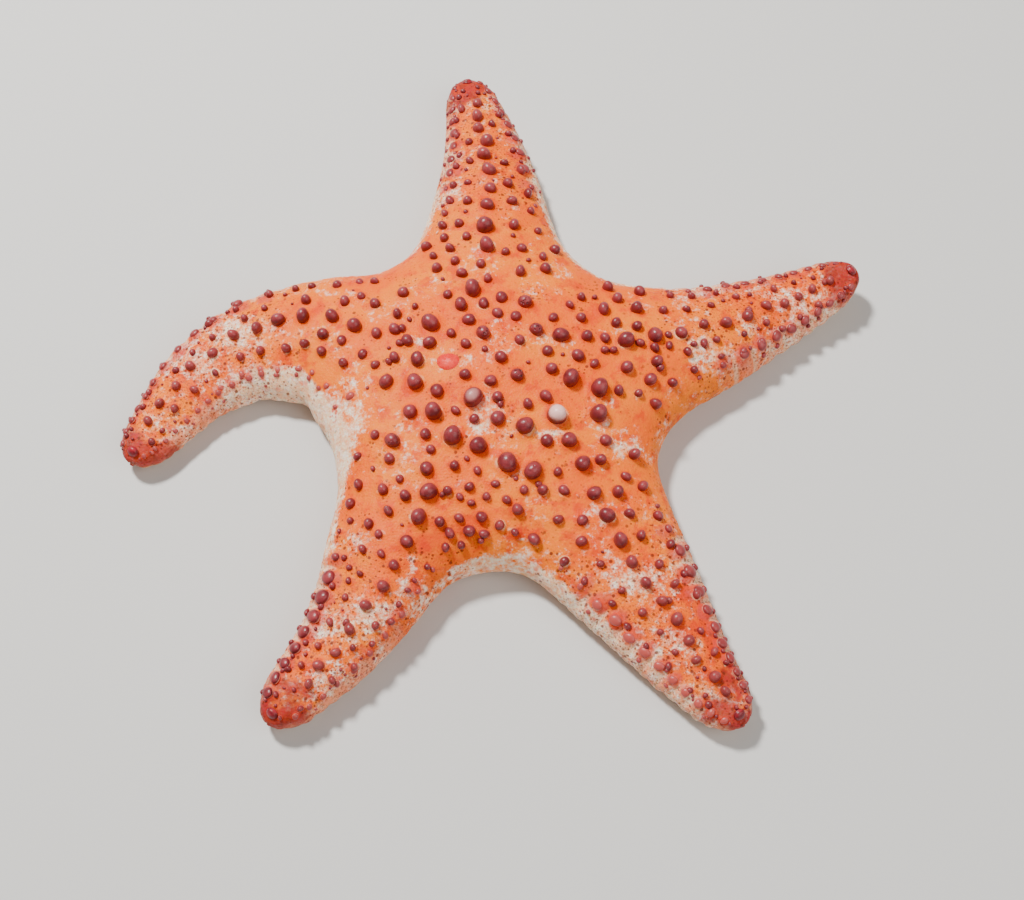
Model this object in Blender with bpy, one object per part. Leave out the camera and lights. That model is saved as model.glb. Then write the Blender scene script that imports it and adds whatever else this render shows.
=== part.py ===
"""Five-armed sea star, life size, resting on its underside with one arm curled.

Units are metres and +Z is up. The disc and the five arms are closed solids
cut apart on flat faces, each carrying its larger knobs, and the madreporite
is a separate small plate let into the disc.
"""
import math
import random

import bmesh
import bpy
from mathutils import Vector

MM = 0.001

# ---------------------------------------------------------------- driving sizes (mm, degrees)
STAR_CENTRE = (-2.9, -5.7)      # middle of the disc, seen from above
DISC_TOP = 24.0                 # height of the disc over its middle
ARM_TOP = 8.6                   # height of an arm just before its tip
MARGIN_HEIGHT = 6.2             # height of the edge line round the disc
MARGIN_TIP = 5.0                # height of the edge line at the arm tips
CUT = 51.0                      # distance from the middle at which an arm starts
GAP = 0.3                       # clearance between neighbouring solids
FLAT_SHARE = 0.56               # share of the underside half width that lies flat

CREST_REACH = 108.0             # the crest has come down to the arm's height here
CREST_POWER = 1.25              # how slowly it starts to fall
CREST_SETTLED = 40.0            # from here an arm's line of knobs keeps to its own course
CREST_BEND = (12.0, 26.0)       # where that line leaves the midline, and over what length
CREST_EASE = 20.0               # length over which the body follows the line of knobs
MARGIN_FROM = 45.0              # the edge line comes down from here
MARGIN_OVER = 55.0              # over this length
LIFT_OVER = 34.0                # length of an arm's upturned end
END_LENGTH = 1.3                # length of an arm's rounded end over its half width

GROOVE_HALF = 2.6               # half width of the furrow under each arm
GROOVE_DEPTH = 3.4
GROOVE_START = 6.0              # length over which a furrow deepens from the mouth
MOUTH_RADIUS = 6.5
MOUTH_DEPTH = 4.6

MADREPORITE = (176.0, 10.5, 6.4, 5.4)    # bearing, distance, length, width
PLATE_TURN = 70.0               # its long axis, from its bearing
PLATE_ROOT = -1.2               # height of its foot on the skin
PLATE_EDGE = 0.35               # height of its edge
PLATE_CROWN = 0.5               # and of its crown above that
PLATE_SHARE = 0.62              # width of the crown over the plate's
PLATE_FACETS = 14
RECESS = (-1.5, 3.0)            # bottom and top of the cut that lets it in

# headings run anticlockwise from +X; widths are half widths where the arm
# leaves the disc, on its clockwise and anticlockwise sides; a bend is
# (start, end, turn) along the midline; crest is how far the line of knobs
# lies to the anticlockwise side of the midline, at the disc and at the tip
ARMS = (
    dict(name="right", heading=14.5, reach=113.0, cw=20.0, ccw=23.0, tip=5.2,
         bends=((52, 74, 10),), crest=(-1.0, -0.5), lift=6.0),
    dict(name="top", heading=90.0, reach=108.0, cw=22.0, ccw=22.0, tip=5.6,
         bends=((56, 96, 14),), crest=(0.0, 0.0), lift=2.0),
    dict(name="left", heading=161.0, reach=118.0, cw=21.0, ccw=23.0, tip=5.6,
         bends=((41, 60, 26), (60, 80, 29), (80, 98, 22)), crest=(-1.0, -1.5), lift=1.5),
    dict(name="lower_left", heading=242.0, reach=110.0, cw=20.5, ccw=18.0, tip=5.8,
         bends=((50, 58, 5), (62, 78, -9), (78, 92, -8)), crest=(4.5, 1.5), lift=1.5),
    dict(name="lower_right", heading=304.0, reach=115.5, cw=21.5, ccw=25.5, tip=5.6,
         bends=((84, 112, 6),), crest=(3.0, 0.5), lift=1.5),
)
# distance from the middle to the edge, half way from each arm to the next
AXILS = (48.0, 48.0, 46.6, 53.2, 51.0)

# knobs: (bearing, distance, width) of the large ones that stand on the disc
DISC_KNOBS = (
    (251, 11, 5.3), (195, 20, 4.4), (141, 20, 4.8), (281, 29, 5.4), (292, 33, 4.9), (247, 23, 5.0),
    (299, 21, 4.8), (321, 24, 5.3), (350, 23, 4.8), (348, 31, 5.0), (335, 33, 4.8), (24, 22, 4.4),
    (225, 20, 4.6), (265, 24, 4.6), (315, 31, 4.2), (312, 38, 4.2), (97, 9, 3.9), (66, 9, 3.7),
    (335, 9, 3.7), (38, 17, 3.8), (221, 33, 4.1), (20, 4, 3.4), (62, 22, 3.9), (100, 24, 4.6),
)
CREST_STEP = 7.6                # spacing of the knobs along an arm's crest
CREST_WIDE = 4.5                # their width beside the disc
CREST_FINE = 2.9                # and near the arm's tip
SIDE_STEP = 9.0                 # spacing along the rows beside the crest
SIDE_SHARES = (0.36, 0.66)      # where those rows lie, as shares of the half width
SIDE_WIDE = 3.6
SIDE_FINE = 2.3
CREST_FROM = 39.0               # the crest's knobs start here
CREST_END = 9.0                 # and stop this short of the tip
CREST_STRAY = 1.0               # how far they stray to either side
CREST_CLOSE = 0.38              # how much closer together they stand at the tip
CREST_SIZES = (0.86, 1.12)      # spread of their widths
CREST_STEPS = (0.85, 1.15)      # and of their spacing
SIDE_FROM = (24.0, 9.0, 4.0)    # the side rows start here, later by share, and by chance
SIDE_END = 13.0
SIDE_STRAY = 0.9
SIDE_CLOSE = 0.30
SIDE_SIZES = (0.80, 1.18)
SIDE_STEPS = (0.80, 1.20)
SIDE_SHRINK = 0.12              # how much smaller they are towards the edge
KNOB_RISE = 0.80                # height over width
KNOB_LEVELS = ((-0.5625, 0.50), (0.50, 0.50), (1.0, 0.27))    # height over rise, radius over width
KNOB_UPRIGHT = 0.35             # how far a knob turns upwards from square to the skin
PLATE_CLEAR = 1.0               # clear skin between a knob and the madreporite
CUT_CLEAR = 1.0                 # and between a knob and the cut
KNOB_FACETS = (6, 5)            # round a wide knob, and round a narrower one
KNOB_WIDE = 4.0
KNOB_LEAST = 2.95               # knobs narrower than this are left to the finished skin
KNOB_KEEP = 1.1                 # clear skin between two knobs
SEED = 11

SKIN_ORANGE = (0.87, 0.28, 0.10)
SKIN_ROUGHNESS = 0.45
MADREPORITE_RED = (0.91, 0.13, 0.08)
PLATE_ROUGHNESS = 0.5

SECTION_ROUND = (2.1, 2.1)      # exponents of the rounded cross-section
TOP_COLUMNS = 5                 # facets from crest to edge, above
UNDER_SHARES = (0.36, 0.72, 0.90)    # corners between furrow and edge, below
ROWS_DISC = (6.0, 14.0, 22.0, 30.0)
ROWS_ARM = (56.0, 62.0, 68.0, 74.0, 80.0, 86.0, 92.0, 98.0, 103.0)
ROWS_END = (9.0, 6.0, 3.2, 1.3, 0.3)    # rows before the tip
ROWS_END_CLEAR = 12.0
MIDLINE_STEP = 0.25
SLOPE_STEP = 0.6                # distance over which the skin's slope is measured
WELD = 2e-7                     # corners closer than this are one (m)
CREASE = 50.0                   # edges sharper than this stay sharp


# ---------------------------------------------------------------- shape of the body (mm)
def smooth(u):
    """Rise from 0 to 1 with flat ends."""
    u = min(max(u, 0.0), 1.0)
    return u * u * (3.0 - 2.0 * u)


def half_gap(index, side):
    """Half the angle to the neighbouring arm on one side (+1 is anticlockwise)."""
    here = ARMS[index]["heading"]
    there = ARMS[(index + side) % 5]["heading"]
    return math.radians(((there - here) * side) % 360.0) / 2.0


def axil(index, side):
    """Half gap, and the point of the edge where the arm meets its neighbour."""
    beta = half_gap(index, side)
    radius = AXILS[index if side > 0 else (index - 1) % 5]
    return beta, radius * math.cos(beta), radius * math.sin(beta)


def end_round(arm, x):
    """Closes an arm with a rounded end."""
    start = arm["reach"] - END_LENGTH * arm["tip"]
    u = min(max((x - start) / (arm["reach"] - start), 0.0), 1.0)
    return math.sqrt(max(1.0 - u * u, 0.0))


def edge(index, side, x):
    """Half width of the body at x, out to its true edge, beyond the axil."""
    arm = ARMS[index]
    beta, x_axil, w_axil = axil(index, side)
    base = arm["ccw"] if side > 0 else arm["cw"]
    slope = (base - arm["tip"]) / (arm["reach"] - x_axil)
    flare = w_axil - base
    fall = flare / (1.0 / math.tan(beta) - slope)
    width = base - slope * (x - x_axil) + flare * math.exp(-(x - x_axil) / fall)
    return width * end_round(arm, x)


def reach_across(index, side, x):
    """(half width that belongs to this arm, half width that sets its cross-section)."""
    beta, x_axil, w_axil = axil(index, side)
    if x >= x_axil:
        wide = edge(index, side, x)
        return wide, wide
    power = 1.0 / math.sin(beta) ** 2
    return x * math.tan(beta), w_axil * (x / x_axil) ** (1.0 - power)


def crest_height(x, y):
    out = min(math.hypot(x, y) / CREST_REACH, 1.0)
    return DISC_TOP - (DISC_TOP - ARM_TOP) * out ** CREST_POWER


def margin_height(x, y):
    out = smooth((math.hypot(x, y) - MARGIN_FROM) / MARGIN_OVER)
    return MARGIN_HEIGHT + (MARGIN_TIP - MARGIN_HEIGHT) * out


def tip_lift(arm, x):
    """How far the end of an arm curls up."""
    start = arm["reach"] - LIFT_OVER
    return arm["lift"] * max((x - start) / LIFT_OVER, 0.0) ** 2


def crest_line(arm, x):
    """Where the line of knobs runs, to the anticlockwise side of the midline."""
    near, far = arm["crest"]
    share = min(max((x - CREST_SETTLED) / (arm["reach"] - CREST_SETTLED), 0.0), 1.0)
    start, length = CREST_BEND
    return (near + (far - near) * share) * smooth((x - start) / length)


def crest_shift(arm, x):
    """The body's own crest follows the knobs once clear of the disc."""
    return crest_line(arm, x) * smooth((x - CUT) / CREST_EASE) * end_round(arm, x)


def top_height(index, side, x, share):
    """y and z of the upper surface, share running from 0 at the crest to 1 at the edge."""
    arm = ARMS[index]
    own, full = reach_across(index, side, x)
    shift = crest_shift(arm, x)
    across = shift + side * share * (own - side * shift)
    inward = min(abs(across - shift) / max(full - side * shift, 1e-9), 1.0)
    domed = max(1.0 - inward ** SECTION_ROUND[0], 0.0) ** (1.0 / SECTION_ROUND[1])
    low = margin_height(x, across)
    rise = (crest_height(x, across) - low) * domed * end_round(arm, x)
    return across, low + rise + tip_lift(arm, x)


def under_height(index, side, x, across):
    """z of the underside at a distance across."""
    arm = ARMS[index]
    own, full = reach_across(index, side, x)
    inward = min(abs(across) / max(full, 1e-9), 1.0)
    u = max((inward - FLAT_SHARE) / (1.0 - FLAT_SHARE), 0.0)
    curl = 1.0 - math.sqrt(max(1.0 - u * u, 0.0))
    low = margin_height(x, across)
    base = low * (1.0 - (1.0 - curl) * end_round(arm, x))
    wide = groove_half(index, side, x)
    lip = 1.0 - smooth(abs(across) / wide)
    furrow = GROOVE_DEPTH * lip * smooth(x / GROOVE_START) * end_round(arm, x)
    mouth = MOUTH_DEPTH * (1.0 - smooth(math.hypot(x, across) / MOUTH_RADIUS))
    return base + max(furrow, mouth) + tip_lift(arm, x)


def groove_half(index, side, x):
    own = reach_across(index, side, x)[0]
    return max(min(GROOVE_HALF, 0.5 * own), 1e-6)


def midline(arm):
    """Stations along an arm's midline: distance, x, y, heading."""
    step = MIDLINE_STEP
    place = [(0.0, 0.0, 0.0, math.radians(arm["heading"]))]
    count = int(arm["reach"] / step) + 8
    for i in range(1, count):
        s = i * step
        turn = sum(deg * smooth((s - a) / (b - a)) for a, b, deg in arm["bends"])
        heading = math.radians(arm["heading"] + turn)
        mean = 0.5 * (heading + place[-1][3])
        px = place[-1][1] + step * math.cos(mean)
        py = place[-1][2] + step * math.sin(mean)
        place.append((s, px, py, heading))
    return place


MIDLINES = [midline(arm) for arm in ARMS]


def placed(index, x, y, z):
    """A point given along, across and above an arm, in metres on the model."""
    line = MIDLINES[index]
    step = line[1][0]
    i = min(int(x / step), len(line) - 2)
    f = x / step - i
    ax = line[i][1] + f * (line[i + 1][1] - line[i][1])
    ay = line[i][2] + f * (line[i + 1][2] - line[i][2])
    heading = line[i][3] + f * (line[i + 1][3] - line[i][3])
    wx = STAR_CENTRE[0] + ax - math.sin(heading) * y
    wy = STAR_CENTRE[1] + ay + math.cos(heading) * y
    return Vector((wx, wy, z)) * MM


# ---------------------------------------------------------------- solids of disc and arms
class Shell:
    """Collects facets whose corners are welded where they meet."""

    def __init__(self):
        self.bm = bmesh.new()
        self.corners = {}

    def corner(self, point):
        key = tuple(int(round(c / WELD)) for c in point)
        for dx in (0, -1, 1):
            for dy in (0, -1, 1):
                for dz in (0, -1, 1):
                    found = self.corners.get((key[0] + dx, key[1] + dy, key[2] + dz))
                    if found is not None:
                        return found
        vert = self.bm.verts.new(point)
        self.corners[key] = vert
        return vert

    def facet(self, points):
        ring = []
        for point in points:
            vert = self.corner(point)
            if vert not in ring:
                ring.append(vert)
        if len(ring) > 2 and self.bm.faces.get(ring) is None:
            self.bm.faces.new(ring)

    def sheet(self, rows):
        for near, far in zip(rows, rows[1:]):
            for j in range(len(near) - 1):
                self.facet((near[j], far[j], far[j + 1], near[j + 1]))

    def mesh(self, name):
        bmesh.ops.triangulate(self.bm, faces=self.bm.faces[:])
        bmesh.ops.recalc_face_normals(self.bm, faces=self.bm.faces[:])
        mesh = bpy.data.meshes.new(name)
        self.bm.to_mesh(mesh)
        self.bm.free()
        return mesh


def top_row(index, x):
    """Upper surface from the clockwise edge over the crest to the other edge."""
    row = []
    for side in (-1, 1):
        half = []
        for j in range(TOP_COLUMNS + 1):
            share = math.sin(0.5 * math.pi * j / TOP_COLUMNS)
            across, z = top_height(index, side, x, share)
            half.append(placed(index, x, across, z))
        row += half[::-1] if side < 0 else half[1:]
    return row


def under_row(index, x):
    """Underside between the same two edges, with the furrow in its middle."""
    row = []
    for side in (-1, 1):
        own = reach_across(index, side, x)[0]
        wide = groove_half(index, side, x)
        stations = [0.0, 0.5 * wide, wide]
        stations += [wide + (own - wide) * share for share in UNDER_SHARES]
        half = [placed(index, x, side * s, under_height(index, side, x, side * s)) for s in stations]
        z = margin_at_edge(index, side, x)
        half.append(placed(index, x, side * own, z))
        row += half[::-1] if side < 0 else half[1:]
    return row


def margin_at_edge(index, side, x):
    """The underside meets the upper surface beyond the axil, and the floor line within it."""
    if x >= axil(index, side)[1] - 1e-9:
        return top_height(index, side, x, 1.0)[1]
    return under_height(index, side, x, side * reach_across(index, side, x)[0])


def disc_mesh():
    shell = Shell()
    axils = [axil(i, 1)[1] for i in range(5)]
    stations = sorted(set(ROWS_DISC) | set(axils) | {CUT})
    crown = placed(0, 0.0, 0.0, DISC_TOP)
    roof = placed(0, 0.0, 0.0, MOUTH_DEPTH)
    for index in range(5):
        tops = [top_row(index, x) for x in stations]
        unders = [under_row(index, x) for x in stations]
        shell.sheet(tops)
        shell.sheet([row[::-1] for row in unders])
        for j in range(len(tops[0]) - 1):
            shell.facet((crown, tops[0][j], tops[0][j + 1]))
        for j in range(len(unders[0]) - 1):
            shell.facet((roof, unders[0][j + 1], unders[0][j]))
        shell.facet(tops[-1] + unders[-1][::-1])
    return shell.mesh("disc")


def arm_mesh(index):
    arm = ARMS[index]
    shell = Shell()
    reach = arm["reach"]
    stations = [CUT + GAP] + [x for x in ROWS_ARM if x < reach - ROWS_END_CLEAR]
    stations += [reach - back for back in ROWS_END]
    tops = [top_row(index, x) for x in stations]
    unders = [under_row(index, x) for x in stations]
    shell.sheet(tops)
    shell.sheet([row[::-1] for row in unders])
    shell.facet((tops[0] + unders[0][::-1])[::-1])
    shell.facet(tops[-1] + unders[-1][::-1])
    return shell.mesh("arm_" + arm["name"])


# ---------------------------------------------------------------- knobs
def top_at(index, x, y):
    """Height of the upper surface at a place on an arm."""
    shift = crest_shift(ARMS[index], x)
    side = 1 if y >= shift else -1
    own = reach_across(index, side, x)[0]
    share = side * (y - shift) / max(own - side * shift, 1e-6)
    return top_height(index, side, x, min(share, 1.0))[1]


def on_skin(index, x, y):
    """World point and outward direction of the upper surface."""
    d = SLOPE_STEP
    here = placed(index, x, y, top_at(index, x, y))
    ahead = placed(index, x + d, y, top_at(index, x + d, y))
    behind = placed(index, x - d, y, top_at(index, x - d, y))
    left = placed(index, x, y + d, top_at(index, x, y + d))
    right = placed(index, x, y - d, top_at(index, x, y - d))
    return here, (ahead - behind).cross(left - right).normalized()


def from_bearing(bearing, distance):
    """Arm, and place along and across it, of a point on the disc."""
    best = None
    for index in range(5):
        off = math.radians((bearing - ARMS[index]["heading"] + 180.0) % 360.0 - 180.0)
        side = 1 if off >= 0 else -1
        share = abs(off) / half_gap(index, side)
        if best is None or share < best[0]:
            best = (share, index, off)
    return best[1], distance * math.cos(best[2]), distance * math.sin(best[2])


def clear_of_cut(x, width):
    return abs(x - CUT) > 0.5 * width + CUT_CLEAR


def crest_places(rng, index):
    """Knobs along the crest, growing finer towards the tip."""
    arm = ARMS[index]
    x = CREST_FROM
    while x < arm["reach"] - CREST_END:
        share = (x - CREST_FROM) / (arm["reach"] - CREST_FROM)
        width = CREST_WIDE + (CREST_FINE - CREST_WIDE) * share
        y = crest_line(arm, x) + rng.uniform(-CREST_STRAY, CREST_STRAY)
        yield x, y, width * rng.uniform(*CREST_SIZES)
        x += CREST_STEP * (1.0 - CREST_CLOSE * share) * rng.uniform(*CREST_STEPS)


def side_places(rng, index):
    """Knobs in the rows on either side of the crest."""
    arm = ARMS[index]
    start, later, chance = SIDE_FROM
    for side in (-1, 1):
        for lane in SIDE_SHARES:
            x = start + later * lane + rng.uniform(0.0, chance)
            while x < arm["reach"] - SIDE_END:
                share = x / arm["reach"]
                own = reach_across(index, side, x)[0]
                shift = crest_shift(arm, x)
                y = shift + side * lane * (own - side * shift)
                y += rng.uniform(-SIDE_STRAY, SIDE_STRAY)
                width = SIDE_WIDE + (SIDE_FINE - SIDE_WIDE) * share
                yield x, y, width * rng.uniform(*SIDE_SIZES) * (1.0 - SIDE_SHRINK * lane)
                x += SIDE_STEP * (1.0 - SIDE_CLOSE * share) * rng.uniform(*SIDE_STEPS)


def knob_places():
    """Every large knob as (arm, along, across, width)."""
    rng = random.Random(SEED)
    wanted = []
    for bearing, distance, width in DISC_KNOBS:
        wanted.append(from_bearing(bearing, distance) + (width,))
    for index in range(5):
        wanted += [(index,) + place for place in crest_places(rng, index)]
    for index in range(5):
        wanted += [(index,) + place for place in side_places(rng, index)]
    plate = from_bearing(MADREPORITE[0], MADREPORITE[1])
    plate_at = placed(plate[0], plate[1], plate[2], 0.0) / MM
    kept = []
    spots = []
    for index, x, y, width in wanted:
        if not clear_of_cut(x, width):
            continue
        at = placed(index, x, y, 0.0) / MM
        if (at - plate_at).length < 0.5 * width + 0.5 * MADREPORITE[2] + PLATE_CLEAR:
            continue
        if all((at - other).length > 0.5 * (width + wide) + KNOB_KEEP for other, wide in spots):
            kept.append((index, x, y, width))
            spots.append((at, width))
    return kept


def ring_points(centre, axis, turn, radius_a, radius_b, count):
    """Corners of an oval ring round an axis."""
    side = Vector((math.cos(turn), math.sin(turn), 0.0))
    side = (side - axis * side.dot(axis)).normalized()
    other = axis.cross(side)
    points = []
    for i in range(count):
        a = 2.0 * math.pi * i / count
        points.append(centre + side * (radius_a * math.cos(a)) + other * (radius_b * math.sin(a)))
    return points


def stack(bm, rings):
    """A closed body through a stack of rings, lowest first."""
    loops = [[bm.verts.new(p) for p in ring] for ring in rings]
    count = len(loops[0])
    for low, high in zip(loops, loops[1:]):
        for i in range(count):
            j = (i + 1) % count
            bm.faces.new((low[i], low[j], high[j], high[i]))
    bm.faces.new(loops[0][::-1])
    bm.faces.new(loops[-1])


def knobs_mesh(name, places):
    """All the knobs of one solid, as blunt rounded pegs rooted in it."""
    bm = bmesh.new()
    for index, x, y, width in places:
        at, axis = on_skin(index, x, y)
        axis = (axis + Vector((0.0, 0.0, KNOB_UPRIGHT))).normalized()
        wide = width * MM
        rise = wide * KNOB_RISE
        facets = KNOB_FACETS[0 if width >= KNOB_WIDE else 1]
        rings = []
        for height, radius in KNOB_LEVELS:
            centre = at + axis * (height * rise)
            rings.append(ring_points(centre, axis, x + y, radius * wide, radius * wide, facets))
        stack(bm, rings)
    mesh = bpy.data.meshes.new(name)
    bm.to_mesh(mesh)
    bm.free()
    return mesh


# ---------------------------------------------------------------- madreporite
def plate_mesh(name, grow, levels):
    """An oval body on the madreporite's place: (height, share of its size) at each level."""
    bearing, distance, length, width = MADREPORITE
    index, x, y = from_bearing(bearing, distance)
    at, axis = on_skin(index, x, y)
    turn = math.radians(bearing + PLATE_TURN)
    a = (0.5 * length + grow) * MM
    b = (0.5 * width + grow) * MM
    rings = []
    for height, share in levels:
        centre = at + axis * (height * MM)
        rings.append(ring_points(centre, axis, turn, share * a, share * b, PLATE_FACETS))
    bm = bmesh.new()
    stack(bm, rings)
    mesh = bpy.data.meshes.new(name)
    bm.to_mesh(mesh)
    bm.free()
    return mesh


# ---------------------------------------------------------------- objects
def material(name, colour, roughness):
    mat = bpy.data.materials.new(name)
    mat.use_nodes = True
    shader = mat.node_tree.nodes["Principled BSDF"]
    shader.inputs["Base Color"].default_value = colour + (1.0,)
    shader.inputs["Roughness"].default_value = roughness
    shader.inputs["Metallic"].default_value = 0.0
    return mat


def add(name, mesh, mat=None):
    mesh.shade_smooth()
    mesh.set_sharp_from_angle(angle=math.radians(CREASE))
    obj = bpy.data.objects.new(name, mesh)
    bpy.context.scene.collection.objects.link(obj)
    if mat is not None:
        mesh.materials.append(mat)
    return obj


def boolean(obj, other, operation):
    mod = obj.modifiers.new(operation.lower() + "_" + other.name, "BOOLEAN")
    mod.operation = operation
    mod.solver = "EXACT"
    mod.object = other
    other.hide_render = True
    other.display_type = "WIRE"


def build():
    for obj in list(bpy.data.objects):
        bpy.data.objects.remove(obj, do_unlink=True)
    places = knob_places()
    disc = add("disc", disc_mesh(), material("disc_skin", SKIN_ORANGE, SKIN_ROUGHNESS))
    near = [p for p in places if p[1] < CUT]
    knobs = add("guide_knobs_disc", knobs_mesh("knobs_disc", [p for p in near if p[3] >= KNOB_LEAST]))
    boolean(disc, knobs, "UNION")
    recess = add("guide_recess", plate_mesh("recess", GAP, [(height, 1.0) for height in RECESS]))
    boolean(disc, recess, "DIFFERENCE")
    levels = ((PLATE_ROOT, 1.0), (PLATE_EDGE, 1.0), (PLATE_EDGE + PLATE_CROWN, PLATE_SHARE))
    add("madreporite", plate_mesh("madreporite", 0.0, levels),
        material("madreporite_plate", MADREPORITE_RED, PLATE_ROUGHNESS))
    for index, arm in enumerate(ARMS):
        body = add("arm_" + arm["name"], arm_mesh(index),
                   material("arm_skin_" + arm["name"], SKIN_ORANGE, SKIN_ROUGHNESS))
        own = [p for p in places if p[0] == index and p[1] > CUT and p[3] >= KNOB_LEAST]
        pegs = add("guide_knobs_" + arm["name"], knobs_mesh("knobs_" + arm["name"], own))
        boolean(body, pegs, "UNION")


build()
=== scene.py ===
"""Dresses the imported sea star: living skin, knobs, edge plates, sieve plate and underside."""
import random
from collections import namedtuple
from math import atan2, cos, degrees, exp, hypot, pi, radians, sin, sqrt, tan

import bpy
import numpy as np
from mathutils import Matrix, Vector


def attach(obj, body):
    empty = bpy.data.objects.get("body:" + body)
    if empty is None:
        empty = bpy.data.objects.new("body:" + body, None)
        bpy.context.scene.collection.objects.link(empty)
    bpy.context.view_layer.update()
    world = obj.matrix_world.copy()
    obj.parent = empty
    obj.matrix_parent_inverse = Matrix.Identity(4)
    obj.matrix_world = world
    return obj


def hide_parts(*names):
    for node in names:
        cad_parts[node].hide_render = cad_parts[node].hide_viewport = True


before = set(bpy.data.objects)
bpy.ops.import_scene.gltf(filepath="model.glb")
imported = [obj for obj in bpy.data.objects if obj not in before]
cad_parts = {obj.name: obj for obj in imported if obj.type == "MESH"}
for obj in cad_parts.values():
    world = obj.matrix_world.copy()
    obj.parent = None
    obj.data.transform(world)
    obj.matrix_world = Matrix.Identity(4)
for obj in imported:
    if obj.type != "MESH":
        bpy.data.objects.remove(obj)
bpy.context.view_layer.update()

MM = 0.001

# ---- the body's sizes, as in the CAD (mm, degrees)
STAR_CENTRE = (-2.9, -5.7)
DISC_TOP = 24.0
ARM_TOP = 8.6
MARGIN_HEIGHT = 6.2
MARGIN_TIP = 5.0
CUT = 51.0
FLAT_SHARE = 0.56
CREST_REACH = 108.0
CREST_POWER = 1.25
CREST_SETTLED = 40.0
CREST_BEND = (12.0, 26.0)
CREST_EASE = 20.0
MARGIN_FROM = 45.0
MARGIN_OVER = 55.0
LIFT_OVER = 34.0
END_LENGTH = 1.3
MIDLINE_STEP = 0.25
SLOPE_STEP = 0.6
GROOVE_HALF = 2.6
GROOVE_DEPTH = 3.4
GROOVE_START = 6.0
MOUTH_RADIUS = 6.5
MOUTH_DEPTH = 4.6
MADREPORITE = (176.0, 10.5, 6.4, 5.4)
SECTION_ROUND = 2.1

# cw and ccw: half widths at the base on either side; bends: (from, to, degrees); crest: its offsets
Arm = namedtuple("Arm", "name heading reach cw ccw tip bends crest lift")
ARMS = (
    Arm("right", 14.5, 113.0, 20.0, 23.0, 5.2, ((52, 74, 10),), (-1.0, -0.5), 6.0),
    Arm("top", 90.0, 108.0, 22.0, 22.0, 5.6, ((56, 96, 14),), (0.0, 0.0), 2.0),
    Arm("left", 161.0, 118.0, 21.0, 23.0, 5.6, ((41, 60, 26), (60, 80, 29), (80, 98, 22)), (-1.0, -1.5), 1.5),
    Arm("lower_left", 242.0, 110.0, 20.5, 18.0, 5.8, ((50, 58, 5), (62, 78, -9), (78, 92, -8)),
        (4.5, 1.5), 1.5),
    Arm("lower_right", 304.0, 115.5, 21.5, 25.5, 5.6, ((84, 112, 6),), (3.0, 0.5), 1.5),
)
AXILS = (48.0, 48.0, 46.6, 53.2, 51.0)
REACHES = [arm.reach for arm in ARMS]

# ---- knobs, as in the CAD
DISC_KNOBS = (
    (251, 11, 5.3), (195, 20, 4.4), (141, 20, 4.8), (281, 29, 5.4), (292, 33, 4.9), (247, 23, 5.0),
    (299, 21, 4.8), (321, 24, 5.3), (350, 23, 4.8), (348, 31, 5.0), (335, 33, 4.8), (24, 22, 4.4),
    (225, 20, 4.6), (265, 24, 4.6), (315, 31, 4.2), (312, 38, 4.2), (97, 9, 3.9), (66, 9, 3.7),
    (335, 9, 3.7), (38, 17, 3.8), (221, 33, 4.1), (20, 4, 3.4), (62, 22, 3.9), (100, 24, 4.6),
)
CREST_STEP = 7.6
CREST_WIDE = 4.5
CREST_FINE = 2.9
SIDE_STEP = 9.0
SIDE_SHARES = (0.36, 0.66)
SIDE_WIDE = 3.6
SIDE_FINE = 2.3
CREST_FROM = 39.0
CREST_END = 9.0
CREST_STRAY = 1.0
CREST_CLOSE = 0.38
CREST_SIZES = (0.86, 1.12)
CREST_STEPS = (0.85, 1.15)
SIDE_FROM = (24.0, 9.0, 4.0)
SIDE_END = 13.0
SIDE_STRAY = 0.9
SIDE_CLOSE = 0.30
SIDE_SIZES = (0.80, 1.18)
SIDE_STEPS = (0.80, 1.20)
SIDE_SHRINK = 0.12
KNOB_RISE = 0.80
KNOB_UPRIGHT = 0.35
PLATE_CLEAR = 1.0
CUT_CLEAR = 1.0
KNOB_KEEP = 1.1
SEED = 11
WORN_KNOBS = {7: 1.0, 0: 0.5, 16: 0.38, 17: 0.42, 18: 0.34, 21: 0.44, 19: 0.36}  # by place in DISC_KNOBS

# ---- finer detail, only here
MIDDLE_KNOBS = 2600  # tries at placing the knobs between the rows
MIDDLE_RANGE = (2.2, 3.5)
MIDDLE_CLEAR = (1.6, 2.3)
SMALL_KNOBS = 260
SMALL_RANGE = (0.9, 1.8)
SMALL_CLEAR = (1.3, 1.2)
SMALL_WIDTH = 2.0  # knobs up to this width are in the piece of small ones
TWINS = 0.07  # share of the knobs that have a smaller one grown on
FAINT_SIDE = (2, 1)  # arm and side whose pale edge has low pink knobs, and how low
FAINT_LOW = 0.42
SLIM_KNOBS = (0.80, 1.0, 0.88, 0.78, 0.88)  # width of the knobs on each arm's outer part, over the CAD's
# where knobs crowd together: (bearing, distance, half length, half width, turn, tries, clear skin)
CROWDS = (
    (11, 47, 15.0, 2.2, 8, 90, 0.15), (257, 50, 15.0, 9.0, 40, 60, 0.9), (272, 40, 10.0, 7.0, 0, 26, 1.0),
    (240, 66, 12.0, 6.0, 60, 40, 0.9),
)
CROWD_RANGE = (2.0, 3.1)
CROWD_SHARE = 0.74  # of the way from the arm's axis to its edge
TIP_KNOBS = 12  # tries at each arm's end
TIP_RANGE = (1.0, 1.7)
TIP_CLEAR = 0.45
EDGE_FROM = 60.0  # distance along an arm from which the edge plates stand out
EDGE_STEP = 6.8  # their spacing up to there
EDGE_CLOSE = 0.066  # how fast the spacing shrinks beyond
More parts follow.
